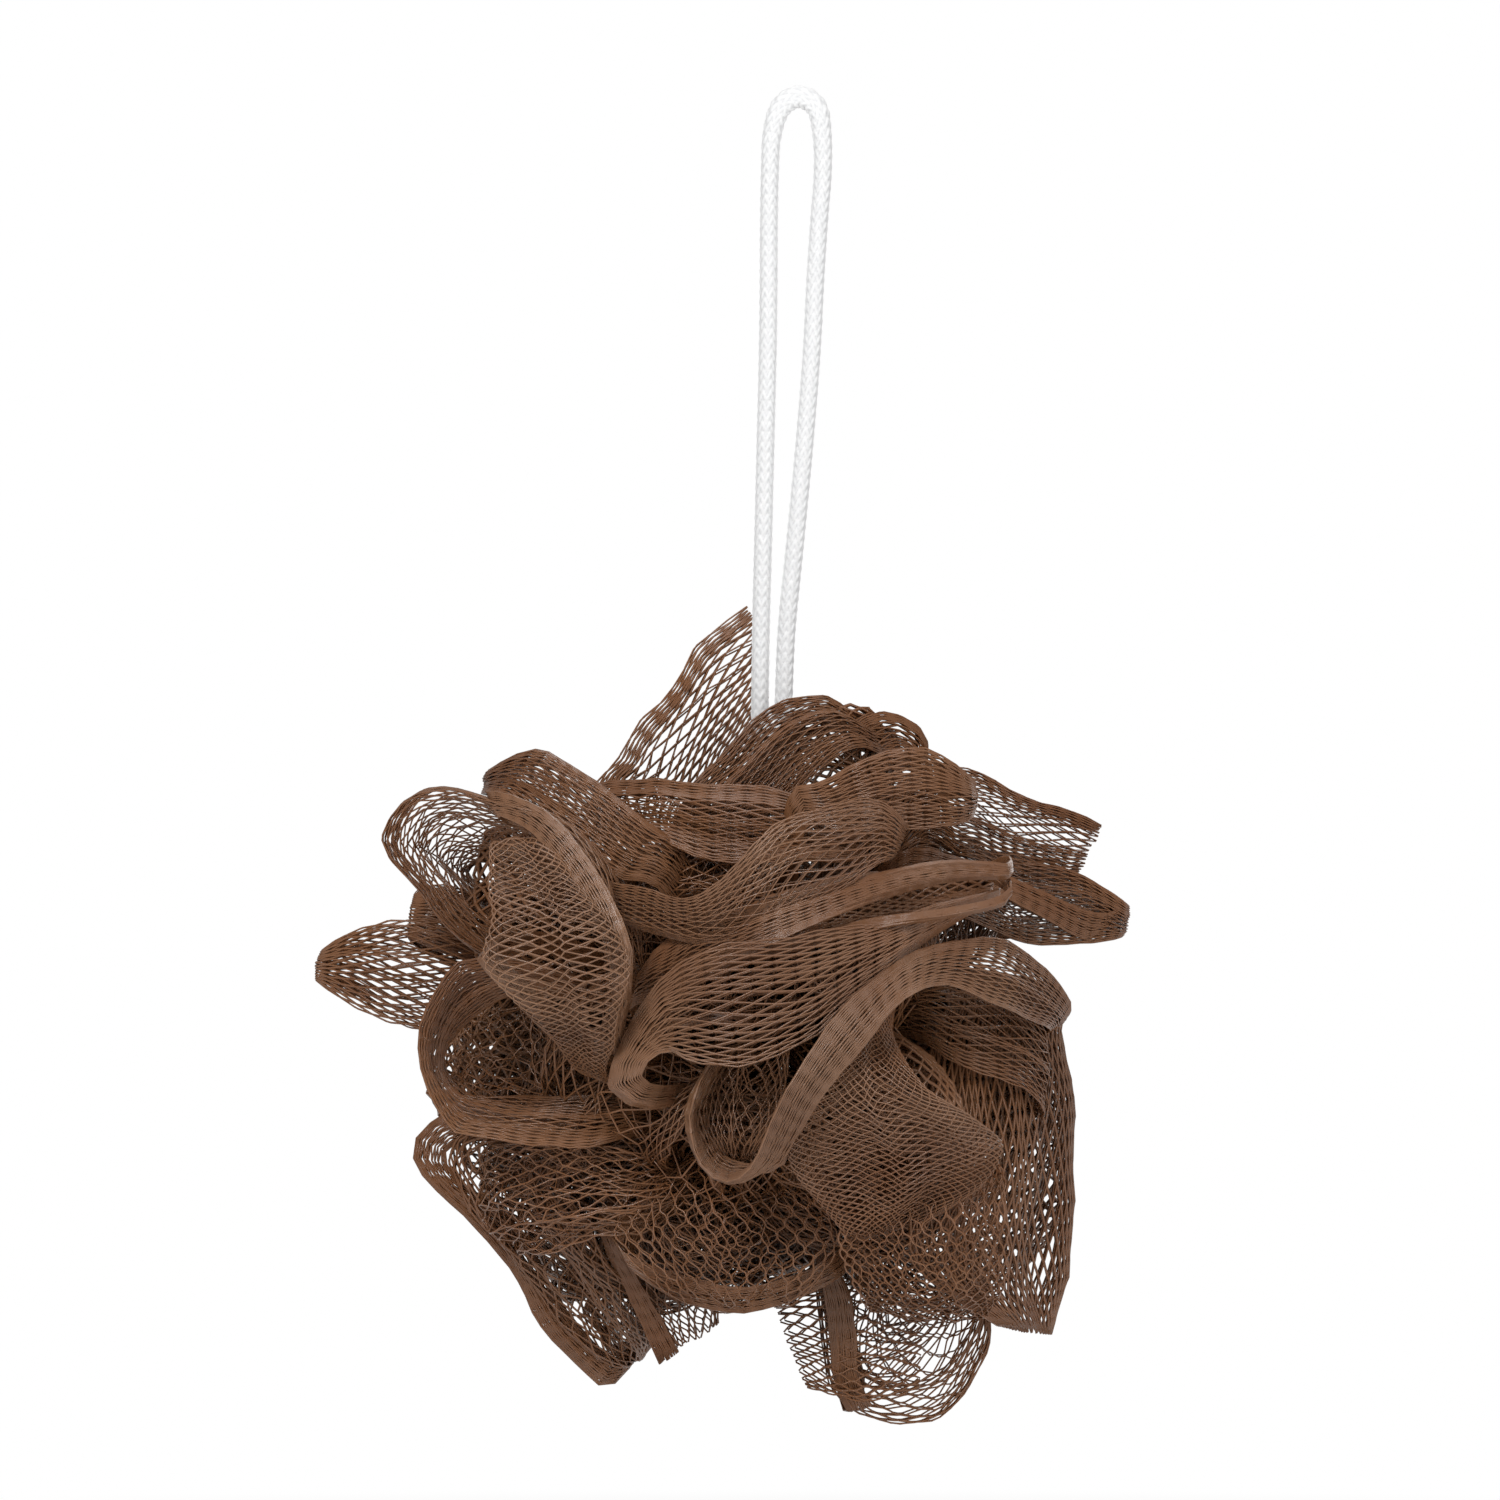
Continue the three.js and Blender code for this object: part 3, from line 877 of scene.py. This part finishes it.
lobe("veil", 3, ((-28, -12, 40), (-26, -16, 34)), ((-21, -20, 45), (-20, -26, 36)),
     ((-11, -26, 45), (-11, -30, 33)), ((-1, -28, 44), (0, -32, 32)), ((8, -28, 41), (9, -30, 32)),
     ((16, -22, 36), (14, -24, 30)), gape=1.4, row=3.0, fused=False, crumple=0.25)
lobe("ribbon", 2, ((2, -30, 40), (5, -32, 36)), ((8, -34, 45), (11, -36, 37)),
     ((15, -36, 49), (17, -38, 37)), ((24, -34, 50), (24, -36, 37)),
     ((30, -30, 47), (30, -32, 38)), ((32, -24, 44), (32, -24, 40)),
     ((24, -16, 44), (26, -16, 40)), gape=1.4, row=2.8, fused=False, crumple=0.25)
lobe("wing", 2, ((20, -14, 44), (22, -16, 34)), ((30, -14, 47), (31, -18, 33)),
     ((38, -10, 44), (38, -14, 31)), ((46, -6, 41), (44, -8, 30)), ((53, -2, 38), (49, -3, 30)),
     gape=1.6, cut_end=True, crumple=0.35)
lobe("beak", 1, ((20, -16, 34), (20, -18, 25)), ((30, -16, 35), (31, -18, 23)),
     ((40, -12, 32), (41, -14, 19)), ((50, -6, 30), (50, -8, 19)), ((57, 0, 25), (56, 0, 20)),
     ((51, 8, 29), (52, 8, 20)), ((40, 12, 31), (40, 12, 20)), ((20, 10, 22), (20, 10, 14)),
     gape=1.4, rim=0.75, crumple=0.2)
lobe("beak_strap", 1, ((18, -22, 32), (18, -22, 28)), ((30, -22, 33), (30, -22, 29)),
     ((42, -16, 28), (42, -16, 24)), ((51, -8, 24), (50, -8, 20)), ((55.5, -2, 25), (53, -2, 22)),
     ((48, 2, 30), (46, 2, 27)), ((30, 2, 32), (30, 2, 28)), **STRAP)
print("with the top:", len(LOBES), "lobes")

# %% [markdown]
# The middle is nearest to you. A swoop comes down from the left, two edges of one leaf lie
# across below it, and a strap runs down from the right and curls up round a fan of net.

# %% Front lobes, middle
lobe("swoop", 3, ((-34, -22, 38), (-32, -18, 30)), ((-27, -34, 30), (-26, -32, 24)),
     ((-19, -40, 28), (-19, -38, 21)), ((-12, -46, 27), (-10, -44, 19)),
     ((-5, -50, 33), (0, -46, 22)), ((2, -50, 39), (7, -48, 26)), ((9, -50, 41), (13, -49, 29)),
     ((17, -49, 42), (17, -48, 32)), ((22, -46, 38), (19, -46, 33)), gape=1.8, cut_end=True,
     row=2.2, strands=28, crumple=0.2, rim=0.6)
lobe("leaf_top", 2, ((-20, -30, 14), (-22, -34, 8)), ((-12, -40, 23), (-15, -42, 12)),
     ((-4, -46, 25), (-5, -48, 17)), ((6, -48, 28), (6, -49, 22)),
     ((16, -48, 30.5), (17, -48, 26.5)), ((27, -46, 32.5), (27, -45, 29)),
     ((37, -42, 32), (37, -42, 29.5)), ((33, -30, 31), (33, -30, 28)), gape=1.2, row=2.8,
     fused=False, crumple=0.2)
lobe("leaf_lip", 2, ((-16, -30, 12), (-16, -32, 9)), ((-5, -40, 18), (-5, -41, 16)),
     ((6, -43, 21), (6, -44, 19)), ((16, -48, 23.5), (17, -48.5, 22)),
     ((27, -49, 25), (27, -49, 23.5)), ((36, -45, 27), (36.5, -45, 25.5)),
     ((37.5, -40, 29.5), (36.5, -40, 28)), ((30, -28, 30), (30, -28, 27)), **STRAP)
lobe("leaf_dark", 2, ((-4, -30, 24), (-4, -30, 16)), ((10, -36, 29), (10, -36, 20)),
     ((24, -36, 31), (24, -36, 23)), ((34, -32, 31), (34, -32, 26)),
     ((26, -20, 30), (26, -20, 24)), **LINING)
lobe("leaf_low", 1, ((20, -18, 22), (20, -16, 18)), ((36, -36, 28), (35, -36, 26)),
     ((28, -44, 26), (26, -44, 21)), ((16, -48, 23), (16, -50, 13)), ((4, -50, 21), (5, -53, 4)),
     ((-8, -50, 19), (-6, -53, 0)), ((-17, -47, 15), (-13, -51, 1.5)),
     ((-22, -44, 8), (-16, -49, 2.5)), ((-25, -42, 0.5), (-19.5, -47, 1)),
     ((-25.5, -41, -3.5), (-20.5, -45, -1.5)), ((-21, -40, -6.5), (-18, -42, -3)),
     ((-14, -34, -6), (-13, -34, -2.5)), gape=1.1, row=3.4, crumple=0.15, rim=0.5, strands=32)
lobe("strap", 8, ((30, -6, 4), (28, -8, 2)), ((47, -16, 8), (44, -20, 5)),
     ((43, -28, 16), (39, -38, 8)), ((36, -38, 20), (33, -46, 11)), ((29, -44, 20), (26, -50, 13)),
     ((20, -50, 17), (21, -54, 11)), ((10, -56, 8), (14, -54, 3)), ((3, -59, -2), (7.5, -52, -5)),
     ((-0.5, -59, -9), (4, -47, -11)), ((-3, -58, -15), (0.5, -42, -16)),
     ((-7, -57, -18), (-6, -36, -15)), ((-11.5, -54, -15), (-9, -32, -12)),
     ((-13, -50, -7), (-10, -28, -5)), ((-9, -42, 1), (-5, -24, 1)), gape=1.0, crumple=0.15,
     row=2.8, fused=False)
lobe("strap_face", 8, ((-4, -30, 4), (2, -30, 4)), ((-10, -36, 0), (3, -40, 1)),
     ((-11, -40, -7), (1, -44, -7)), ((-8, -40, -14), (-3, -42, -14)),
     ((-6, -24, -12), (-2, -24, -12)), **OPEN)
lobe("fan", 8, ((15, -34, 13), (19, -34, 12)), ((12, -45, 7), (19, -45, 5)),
     ((6, -49, -1.5), (24, -52, -3)), ((2.5, -48, -9), (31, -50, -7.5)),
     ((3, -45, -15.5), (36, -44, -12)), ((8, -39, -22.5), (32, -38, -19)),
     ((12.5, -33, -27), (22, -32, -25)), ((13, -18, -24), (19, -18, -22)),
     **WIDE | {"strands": 30, "row": 0.65})
lobe("fan_lining", 8, ((8, -26, 4), (20, -28, 4)), ((3, -36, -8), (30, -38, -6)),
     ((6, -32, -20), (28, -30, -18)), ((10, -18, -22), (20, -18, -20)), **LINING)
lobe("heart", 8, ((-6, -16, 4), (8, -16, 4)), ((-12, -26, -3), (9, -28, -3)),
     ((-11, -30, -12), (6, -30, -12)), ((-8, -24, -19), (4, -24, -19)), **LINING)
print("with the middle:", len(LOBES), "lobes")

# %% [markdown]
# The lower right hangs loose. A curtain ends in a cut edge, a see-through bib hangs under it, and
# a honeycomb of slack net closes the gap to the bowl.

# %% Front lobes, lower right
lobe("curtain", 1, ((43, -14, 12), (27, -22, 12)), ((46, -12, 4), (25, -30, 2)),
     ((48, -10, -5), (24, -36, -10)), ((48, -8, -15), (24, -37, -19)),
     ((48, -6, -26), (22, -34, -27)), ((47, -3, -35), (25, -27, -34)),
     ((44.5, 0, -43.5), (36, -16, -41.5)), gape=1.6, cut_end=True, crumple=0.15, row=3.0,
     strands=46, fused=False, bundle=1.5)
lobe("lining", 8, ((40, -4, 12), (24, -18, 10)), ((45, -3, 0), (22, -26, -2)),
     ((46, -2, -14), (16, -28, -16)), ((45, 0, -26), (12, -22, -27)),
     ((41, 2, -34), (14, -12, -34)), cut_end=True, **LINING)
lobe("scales", 1, ((14, -26, -18), (34, -30, -14)), ((11, -34, -24), (37, -36, -22)),
     ((11, -34, -30), (38, -30, -30)), ((14, -28, -37), (36, -22, -38)),
     ((14, -14, -36), (30, -12, -37)), **OPEN | {"row": 1.7, "strands": 26})
lobe("arch_lining", 1, ((22, -14, 14), (22, -16, -4)), ((34, -14, 15), (34, -18, -12)),
     ((40, -10, 9), (40, -10, -12)), ((38, 2, 8), (38, 2, -12)), ((26, 4, 10), (26, 4, -6)),
     **LINING)
lobe("arch_face", 1, ((20, -26, 13), (21, -26, 4)), ((30, -31, 15), (30, -33, 0)),
     ((38, -27, 13), (40, -26, -4)), ((43, -18, 8), (43, -18, -8)), ((34, -8, 8), (34, -8, -6)),
     gape=1.4, crumple=0.25, row=2.6, fused=False)
lobe("bib_left", 7, ((24, -8, -32), (24, -6, -52)), ((14, -12, -34), (15, -10, -54)),
     ((8, -12, -36), (10, -10, -53)), ((0, -8, -38.5), (5.5, -8, -52)), cut_end=True,
     cut_start=True, **OPEN | {"strands": 26, "crumple": 0.1})
lobe("bib", 7, ((6, -10, -32), (16, -10, -26)), ((8, -8, -44), (20, -8, -33)),
     ((10, -6, -53), (22, -6, -37)), ((17, -4, -57.5), (25, -6, -37)),
     ((26, 0, -57), (27, -4, -35)), ((32, 2, -51), (28, -2, -32)), ((35.5, 3, -42), (28, 0, -29)),
     ((31, 4, -28), (24, 4, -22)), **OPEN | {"strands": 28, "row": 2.4})
lobe("bib_strap", 7, ((6, -14, -28), (9, -14, -28)), ((8.5, -13, -37), (12.5, -13, -37)),
     ((9.5, -12, -45), (13.5, -12, -45)), ((10, -10, -51), (14, -10, -51)),
     ((12, -7, -55.5), (16, -7, -54.5)), ((11, -3, -54), (15, -3, -53)),
     ((9.5, -2, -44), (13.5, -2, -44)), **STRAP)
lobe("honeycomb", 7, ((-12, -18, -12), (2, -18, -12)), ((-23, -27, -20), (7, -29, -20)),
     ((-24, -28, -28), (10, -30, -28)), ((-17, -24, -36), (5, -26, -36)),
     ((-10, -8, -34), (0, -8, -34)), strands=28, row=2.0, rim=0.6, gape=2.0, crumple=0.5,
     node=0.65)
lobe("honeycomb_rim", 7, ((-20, -18, -20), (-18, -18, -23)), ((-25, -24, -28), (-22, -22, -32)),
     ((-15, -25, -33), (-14, -22, -37.5)), ((-5, -26, -35), (-5, -23, -39.5)),
     ((4, -26, -33), (4, -23, -37)), ((11, -22, -29), (12, -20, -33)),
     ((12, -12, -22), (13, -10, -26)), **STRAP)
lobe("honeycomb_lining", 7, ((-12, -8, -12), (4, -8, -12)), ((-20, -12, -22), (8, -12, -22)),
     ((-18, -12, -31), (8, -12, -31)), ((-10, 2, -30), (4, 2, -30)), **LINING)
print("front:", len(LOBES), "lobes")

# %% [markdown]
# ## Net pieces
#
# Each of the eight lengths of net is cut into pieces of some lobes, because a mesh of all of
# them would be too heavy to handle.

# %% Declaring a piece of net
net_pieces = []


def add_net(name, number, lobes):
    """A piece of one net length: it rides on the pouf and stands for its CAD solid."""
    piece, strand_length = netting(name, lobes)
    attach(piece, "pouf")
    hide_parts(f"net_length_{number}")
    net_pieces.append(piece)


# %% [markdown]
# The front lobes of a length are shared out in the order in which they were set out. The seed
# of a lobe comes from its place in that order, so every lobe falls the same way on each run.

# %% The front pieces
PIECE_LENGTH = 440  # mm of tube in one piece
NET_LENGTHS = range(1, 9)


def shared_out(lobes):
    """The lobes in parts of no more than a piece's length, unless one alone is longer."""
    parts = [[]]
    for each in lobes:
        if sum(other.length for other in parts[-1]) + each.length > PIECE_LENGTH:
            parts.append([])
        parts[-1].append(each)
    return parts


for number in NET_LENGTHS:
    noted = [note for note in LOBES.values() if note["length"] == number]
    made = [Lobe(note["edges"], 100 * number + i, **note["habits"]) for i, note in enumerate(noted)]
    for i, part in enumerate(shared_out(made)):
        add_net(f"net_{number}_front_{i + 1}", number, part)

# %% [markdown]
# ## Side and back lobes
#
# Round the sides and at the back the folds are of one kind: the tube leaves the waist, swings
# out in a loop and comes back. A loop is a sine in each of two directions, and its width swells
# from the neck to the crest. Each loop gets its own lean, width and twist from a seeded draw.

# %% A looped fold
FOLD_STATIONS = np.linspace(0.1, 0.9, 9)  # as shares of the way from one foot to the other
FOLD_TURN = 0.9  # radians that the net turns on its way
FOLD_BLUNT = 0.85  # below 1, the loop's crest is blunter than a sine's
FOLD_NECK = 0.25  # of the width at the crest
FOLD_SWELL = 1.5  # above 1, the width stays longer near the neck's


def looped_fold(angle, lean, reach, spread, width, twist):
    """Stations of a loop that points outwards at an angle and leans back or forward."""
    up, back = math.radians(angle), math.radians(lean)
    out = np.array([math.cos(up) * math.cos(back), math.sin(back), math.sin(up) * math.cos(back)])
    round_waist = np.array([-math.sin(up), 0, math.cos(up)])
    third = np.cross(out, round_waist)
    made = []
    for share in FOLD_STATIONS:
        swing = math.sin(math.pi * share)
        turn = twist + FOLD_TURN * (share - 0.5)
        sideways = round_waist * math.cos(turn) + third * math.sin(turn)
        across_it = third * math.cos(turn) - round_waist * math.sin(turn)
        swerve = sideways * spread * math.sin(2 * math.pi * share)
        centre = out * reach * swing**FOLD_BLUNT + swerve
        half = across_it * width * (FOLD_NECK + (1 - FOLD_NECK) * swing**FOLD_SWELL) / 2
        made.append((tuple(centre - half), tuple(centre + half)))
    return made


# %% [markdown]
# Each length of net has two inner folds, which lean forward and fill the heart of the pouf behind
# the front lobes, and three back folds. The lengths go round the waist an eighth of a turn apart,
# and each reaches as far as its own CAD solid allows.

# %% Inner, side and back lobes
FOLD_LEANS = {"inner": (-52, -22), "back": (14, 42, 70)}  # degrees back from the pouf's own plane
BEHIND_CORD = 38  # degrees; the top length's back folds stay behind the cord
TOP_LENGTH = 3
FOLD_REACH = {"inner": 0.86, "back": 1.0}  # as a share of what the length's own side allows
SIDE_REACH = (41, 46, 46, 46, 45, 42, 33, 41)  # mm, for net lengths 1 to 8
FOLD_NET = {"gape": 2.0, "crumple": 0.6, "strands": 28, "row": 2.2, "fused": False, "bundle": 1.2}
ANGLE_PLAY = (-14, 14)  # degrees
LEAN_PLAY = (-5, 5)
REACH_PLAY = (0.92, 1.04)
SPREADS = (8, 13)  # mm
WIDTHS = (26, 36)
TWISTS = (0, 3.1)  # radians

for number in NET_LENGTHS:
    draw = np.random.default_rng(40 + number)
    for part, leans in FOLD_LEANS.items():
        made = []
        for i, lean in enumerate(leans):
            if number == TOP_LENGTH and part == "back":
                lean = max(lean, BEHIND_CORD)
            edges = looped_fold(
                angle=45 * (number - 1) + draw.uniform(*ANGLE_PLAY),
                lean=lean + draw.uniform(*LEAN_PLAY),
                reach=SIDE_REACH[number - 1] * FOLD_REACH[part] * draw.uniform(*REACH_PLAY),
                spread=draw.uniform(*SPREADS),
                width=draw.uniform(*WIDTHS),
                twist=draw.uniform(*TWISTS),
            )
            seed = 1000 * number + 10 * len(leans) + i
            made.append(Lobe(edges, seed, **FOLD_NET))
        add_net(f"net_{number}_{part}", number, made)

bpy.data.objects.remove(section)
print("net:", len(net_pieces), "pieces")

# %% [markdown]
# ## Materials
#
# A material is a small tree of nodes. The same few nodes come back in each of them, so they are
# made by helpers: one adds a node and its settings, and the others wire it up and give back the
# socket that carries its result.

# %% Nodes
def fresh_material(name):
    """A new material, its tree and its shader."""
    look = bpy.data.materials.new(name)
    look.use_nodes = True
    return look, look.node_tree, look.node_tree.nodes["Principled BSDF"]


def node(tree, kind, **settings):
    """A new node of a kind, with its settings."""
    made = tree.nodes.new("ShaderNode" + kind)
    for setting, value in settings.items():
        setattr(made, setting, value)
    return made


def own_place(tree):
    """A point's place on its own piece, which stays with it when the piece moves."""
    return node(tree, "TexCoord").outputs["Object"]


def noise_of(tree, scale, detail=3.0):
    """Noise on the piece's own coordinates."""
    noise = node(tree, "TexNoise")
    noise.inputs["Scale"].default_value = scale
    noise.inputs["Detail"].default_value = detail
    tree.links.new(own_place(tree), noise.inputs["Vector"])
    return noise.outputs["Fac"]


def ramp_of(tree, share, first, last):
    """A ramp between two stops, each a place and a red, green and blue."""
    ramp = node(tree, "ValToRGB")
    for stop, (place, colour) in zip(ramp.color_ramp.elements, (first, last)):
        stop.position, stop.color = place, (*colour, 1)
    tree.links.new(share, ramp.inputs["Fac"])
    return ramp.outputs["Color"]


# %% [markdown]
# Colours are mixed by a share or multiplied, and the distance of a point is measured and made
# a share from 0 to 1.

# %% Colours and distances
def mixed(tree, share, first, second):
    """Two colours, mixed by a share."""
    mix = node(tree, "Mix", data_type="RGBA")
    tree.links.new(share, mix.inputs["Factor"])
    tree.links.new(first, mix.inputs["A"])
    tree.links.new(second, mix.inputs["B"])
    return mix.outputs["Result"]


def multiplied(tree, first, second):
    """Two colours, multiplied."""
    mix = node(tree, "Mix", data_type="RGBA", blend_type="MULTIPLY")
    mix.inputs["Factor"].default_value = 1.0
    tree.links.new(first, mix.inputs["A"])
    tree.links.new(second, mix.inputs["B"])
    return mix.outputs["Result"]


def share_of_distance(tree, nearest, farthest, centre, stretch):
    """From 0 near a centre to 1 far from it, where each axis counts by its stretch."""
    from_centre = node(tree, "VectorMath", operation="SUBTRACT")
    from_centre.inputs[1].default_value = centre
    tree.links.new(own_place(tree), from_centre.inputs[0])
    stretched = node(tree, "VectorMath", operation="MULTIPLY")
    stretched.inputs[1].default_value = stretch
    tree.links.new(from_centre.outputs[0], stretched.inputs[0])
    away = node(tree, "VectorMath", operation="LENGTH")
    tree.links.new(stretched.outputs[0], away.inputs[0])
    share = node(tree, "MapRange", interpolation_type="SMOOTHSTEP")
    share.inputs["From Min"].default_value = nearest
    share.inputs["From Max"].default_value = farthest
    tree.links.new(away.outputs["Value"], share.inputs["Value"])
    return share.outputs["Result"]


# %% [markdown]
# The net is brown plastic with a satin gloss. Real strands let a little light through, but they
# are so fine that a plain shader does. Deep in the folds the brown is painted redder, a painted
# glow of the light that passes through many layers, and further out, mostly towards the front and
# back, it is painted paler, a painted sheen. Both drift between darker and lighter over a
# centimetre or two, which is the plastic's own uneven tone. Many layers of net keep the light out
# of the folds, so painted shade darkens the colour there as well.

# %% Net plastic
DRIFT = 55  # noise per metre: patches of a centimetre or two
GRAIN = 400  # a few millimetres along a strand
PAINTED_GLOW = (0.3, (0.185, 0.073, 0.028)), (0.7, (0.245, 0.110, 0.049))
PAINTED_SHEEN = (0.3, (0.190, 0.088, 0.044)), (0.7, (0.270, 0.145, 0.083))
PAINTED_SHADE = (0.0, (0.18, 0.18, 0.18)), (1.0, (1, 1, 1))
GLOSS = (0.3, (0.20, 0.20, 0.20)), (0.7, (0.36, 0.36, 0.36))
FACING = (0.35, 1.0, 0.35)  # mostly by the distance to the front or back
ALL_ROUND = (0.75, 1.3, 0.75)

net_look, tree, shader = fresh_material("brown_net_plastic")
# Painted light: the redder brown is a painted glow and the paler brown a painted sheen; their noise is
# the plastic's own uneven tone.
glow_brown = ramp_of(tree, noise_of(tree, DRIFT), *PAINTED_GLOW)
sheen_brown = ramp_of(tree, noise_of(tree, DRIFT), *PAINTED_SHEEN)
# The share of painted sheen grows with the distance from the waist, mostly to the front and back.
sheen_share = share_of_distance(tree, 26 * MM, 58 * MM, waist * MM, FACING)
# Painted shade: the nearer a point lies to the waist, the darker its colour.
shade_share = share_of_distance(tree, 12 * MM, 50 * MM, waist * MM, ALL_ROUND)
tint = multiplied(tree, mixed(tree, sheen_share, glow_brown, sheen_brown), ramp_of(tree, shade_share, *PAINTED_SHADE))
tree.links.new(tint, shader.inputs["Base Color"])
gloss = ramp_of(tree, noise_of(tree, GRAIN), *GLOSS)
tree.links.new(gloss, shader.inputs["Roughness"])
shader.inputs["Specular IOR Level"].default_value = 0.5
for piece in net_pieces:
    piece.data.materials.append(net_look)
print("net plastic on", len(net_pieces), "pieces")

# %% [markdown]
# The cord is bright white polyester yarn, and the twine is brown. Both are bundles of fibres that
# take the light a little differently, which fine noise gives in colour and in bump. The gaps
# between stitches and between the twine's plies get painted shade, and the relief attribute says
# where they are.

# %% Cord yarn and twine
FIBRE_TINT = 900  # noise per metre
FIBRE_BUMP = 0.05 * MM
GROOVE_SHADE = (0.78, (0.82, 0.82, 0.83)), (0.94, (1, 1, 1))
WHITE = (0.3, (0.86, 0.865, 0.87)), (0.7, (0.93, 0.93, 0.93))
BROWN = (0.3, (0.05, 0.03, 0.02)), (0.7, (0.11, 0.07, 0.05))


def yarn(name, tints, fibre_scale):
    """A yarn: fine noise in colour and in relief."""
    look, tree, shader = fresh_material(name)
    colour = ramp_of(tree, noise_of(tree, FIBRE_TINT), *tints)
    # Painted shade: the relief attribute darkens the gaps between stitches and between plies.
    relief = node(tree, "Attribute", attribute_name="relief")
    groove_shade = ramp_of(tree, relief.outputs["Fac"], *GROOVE_SHADE)
    tree.links.new(multiplied(tree, colour, groove_shade), shader.inputs["Base Color"])
    bump = node(tree, "Bump")
    bump.inputs["Strength"].default_value = 0.35
    bump.inputs["Distance"].default_value = FIBRE_BUMP
    tree.links.new(noise_of(tree, fibre_scale), bump.inputs["Height"])
    tree.links.new(bump.outputs["Normal"], shader.inputs["Normal"])
    shader.inputs["Roughness"].default_value = 0.6
    return look


white_yarn = yarn("white_yarn", WHITE, 9000)
for piece in cords:
    piece.data.materials.append(white_yarn)
waist_binding.data.materials.append(yarn("brown_yarn", BROWN, 7000))
print("yarn on", len(cords) + 1, "pieces")

# %% [markdown]
# ## Floor and light
#
# The pouf hangs a little above a pale floor, which takes its shadow. A floor has an edge, and a
# horizon would show it, so the floor is a wide disc that fades to white further out. Only what
# the camera sees fades: the light that the floor sends back is that of a plain pale floor.

# %% Floor
FLOOR_BELOW = 22 * MM
FLOOR_RADIUS = 4
FADE_FROM = 0.12
FADE_TO = 0.32

shape = bmesh.new()
bmesh.ops.create_circle(shape, cap_ends=True, segments=96, radius=FLOOR_RADIUS)
bmesh.ops.translate(shape, verts=shape.verts, vec=(0, 0, cad_low.z - FLOOR_BELOW))
floor_mesh = bpy.data.meshes.new("floor")
shape.to_mesh(floor_mesh)
shape.free()
floor = bpy.data.objects.new("floor", floor_mesh)
bpy.context.scene.collection.objects.link(floor)
floor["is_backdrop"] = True
print("floor at", round(cad_low.z - FLOOR_BELOW, 3), "m")

# %% [markdown]
# Light Path tells a ray of the camera from all others. The share of white is the distance from
# the middle of the floor, and it counts for the camera's rays alone.

# %% The floor's finish
floor_look, tree, shader = fresh_material("pale_floor")
shader.inputs["Base Color"].default_value = (0.9, 0.9, 0.9, 1)
shader.inputs["Roughness"].default_value = 0.8
fade = share_of_distance(tree, FADE_FROM, FADE_TO, (0, 0, 0), (1, 1, 0))
seen = node(tree, "Math", operation="MULTIPLY")
tree.links.new(fade, seen.inputs[0])
tree.links.new(node(tree, "LightPath").outputs["Is Camera Ray"], seen.inputs[1])
mix = node(tree, "MixShader")
tree.links.new(seen.outputs[0], mix.inputs["Fac"])
tree.links.new(shader.outputs[0], mix.inputs[1])
tree.links.new(node(tree, "Emission").outputs[0], mix.inputs[2])
tree.links.new(mix.outputs[0], tree.nodes["Material Output"].inputs["Surface"])
floor.data.materials.append(floor_look)
print("floor fades from", FADE_FROM, "to", FADE_TO, "m")

# %% [markdown]
# The surround is white to the camera and gives a soft light of its own to everything else.

# %% Surround
SURROUND = 0.36

world = bpy.data.worlds.new("surround")
bpy.context.scene.world = world
world.use_nodes = True
tree = world.node_tree
tree.nodes.clear()
soft, plain = node(tree, "Background"), node(tree, "Background")
for background in (soft, plain):
    background.inputs["Color"].default_value = (1, 1, 1, 1)
soft.inputs["Strength"].default_value = SURROUND
mix = node(tree, "MixShader")
tree.links.new(node(tree, "LightPath").outputs["Is Camera Ray"], mix.inputs["Fac"])
tree.links.new(soft.outputs[0], mix.inputs[1])
tree.links.new(plain.outputs[0], mix.inputs[2])
tree.links.new(mix.outputs[0], node(tree, "OutputWorld").inputs["Surface"])
print("surround:", SURROUND)

# %% [markdown]
# Four large soft lamps light the pouf from all sides at a plain level. The key is the smallest
# and the strongest, so the folds have a light side and a dark one.

# %% Lamps
AIM = Vector((0, 0, -0.12))


def lamp(name, place, size, power):
    """A square soft lamp that faces the pouf."""
    light = bpy.data.lights.new(name, "AREA")
    light.size, light.energy = size, power
    holder = bpy.data.objects.new(name, light)
    holder.location = place
    holder.rotation_euler = (AIM - holder.location).to_track_quat("-Z", "Y").to_euler()
    bpy.context.scene.collection.objects.link(holder)
    print(name, power, "W")


lamp("key", (-0.55, -1.25, 0.7), 0.5, 11)
lamp("fill", (0.9, -1.1, 0.1), 0.8, 5.5)
lamp("top", (0, 0.2, 1.2), 0.8, 5)
lamp("back", (0.5, 1.3, 0.5), 0.8, 5)
bpy.context.scene.view_settings.view_transform = "Standard"

# %% [markdown]
# ## Sizes and finish
#
# The box of the visual model is printed in millimetres.

# %% Sizes and finish
bpy.context.view_layer.update()
low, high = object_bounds()
print("visual box in mm:", [round(v / MM) for v in low], [round(v / MM) for v in high])
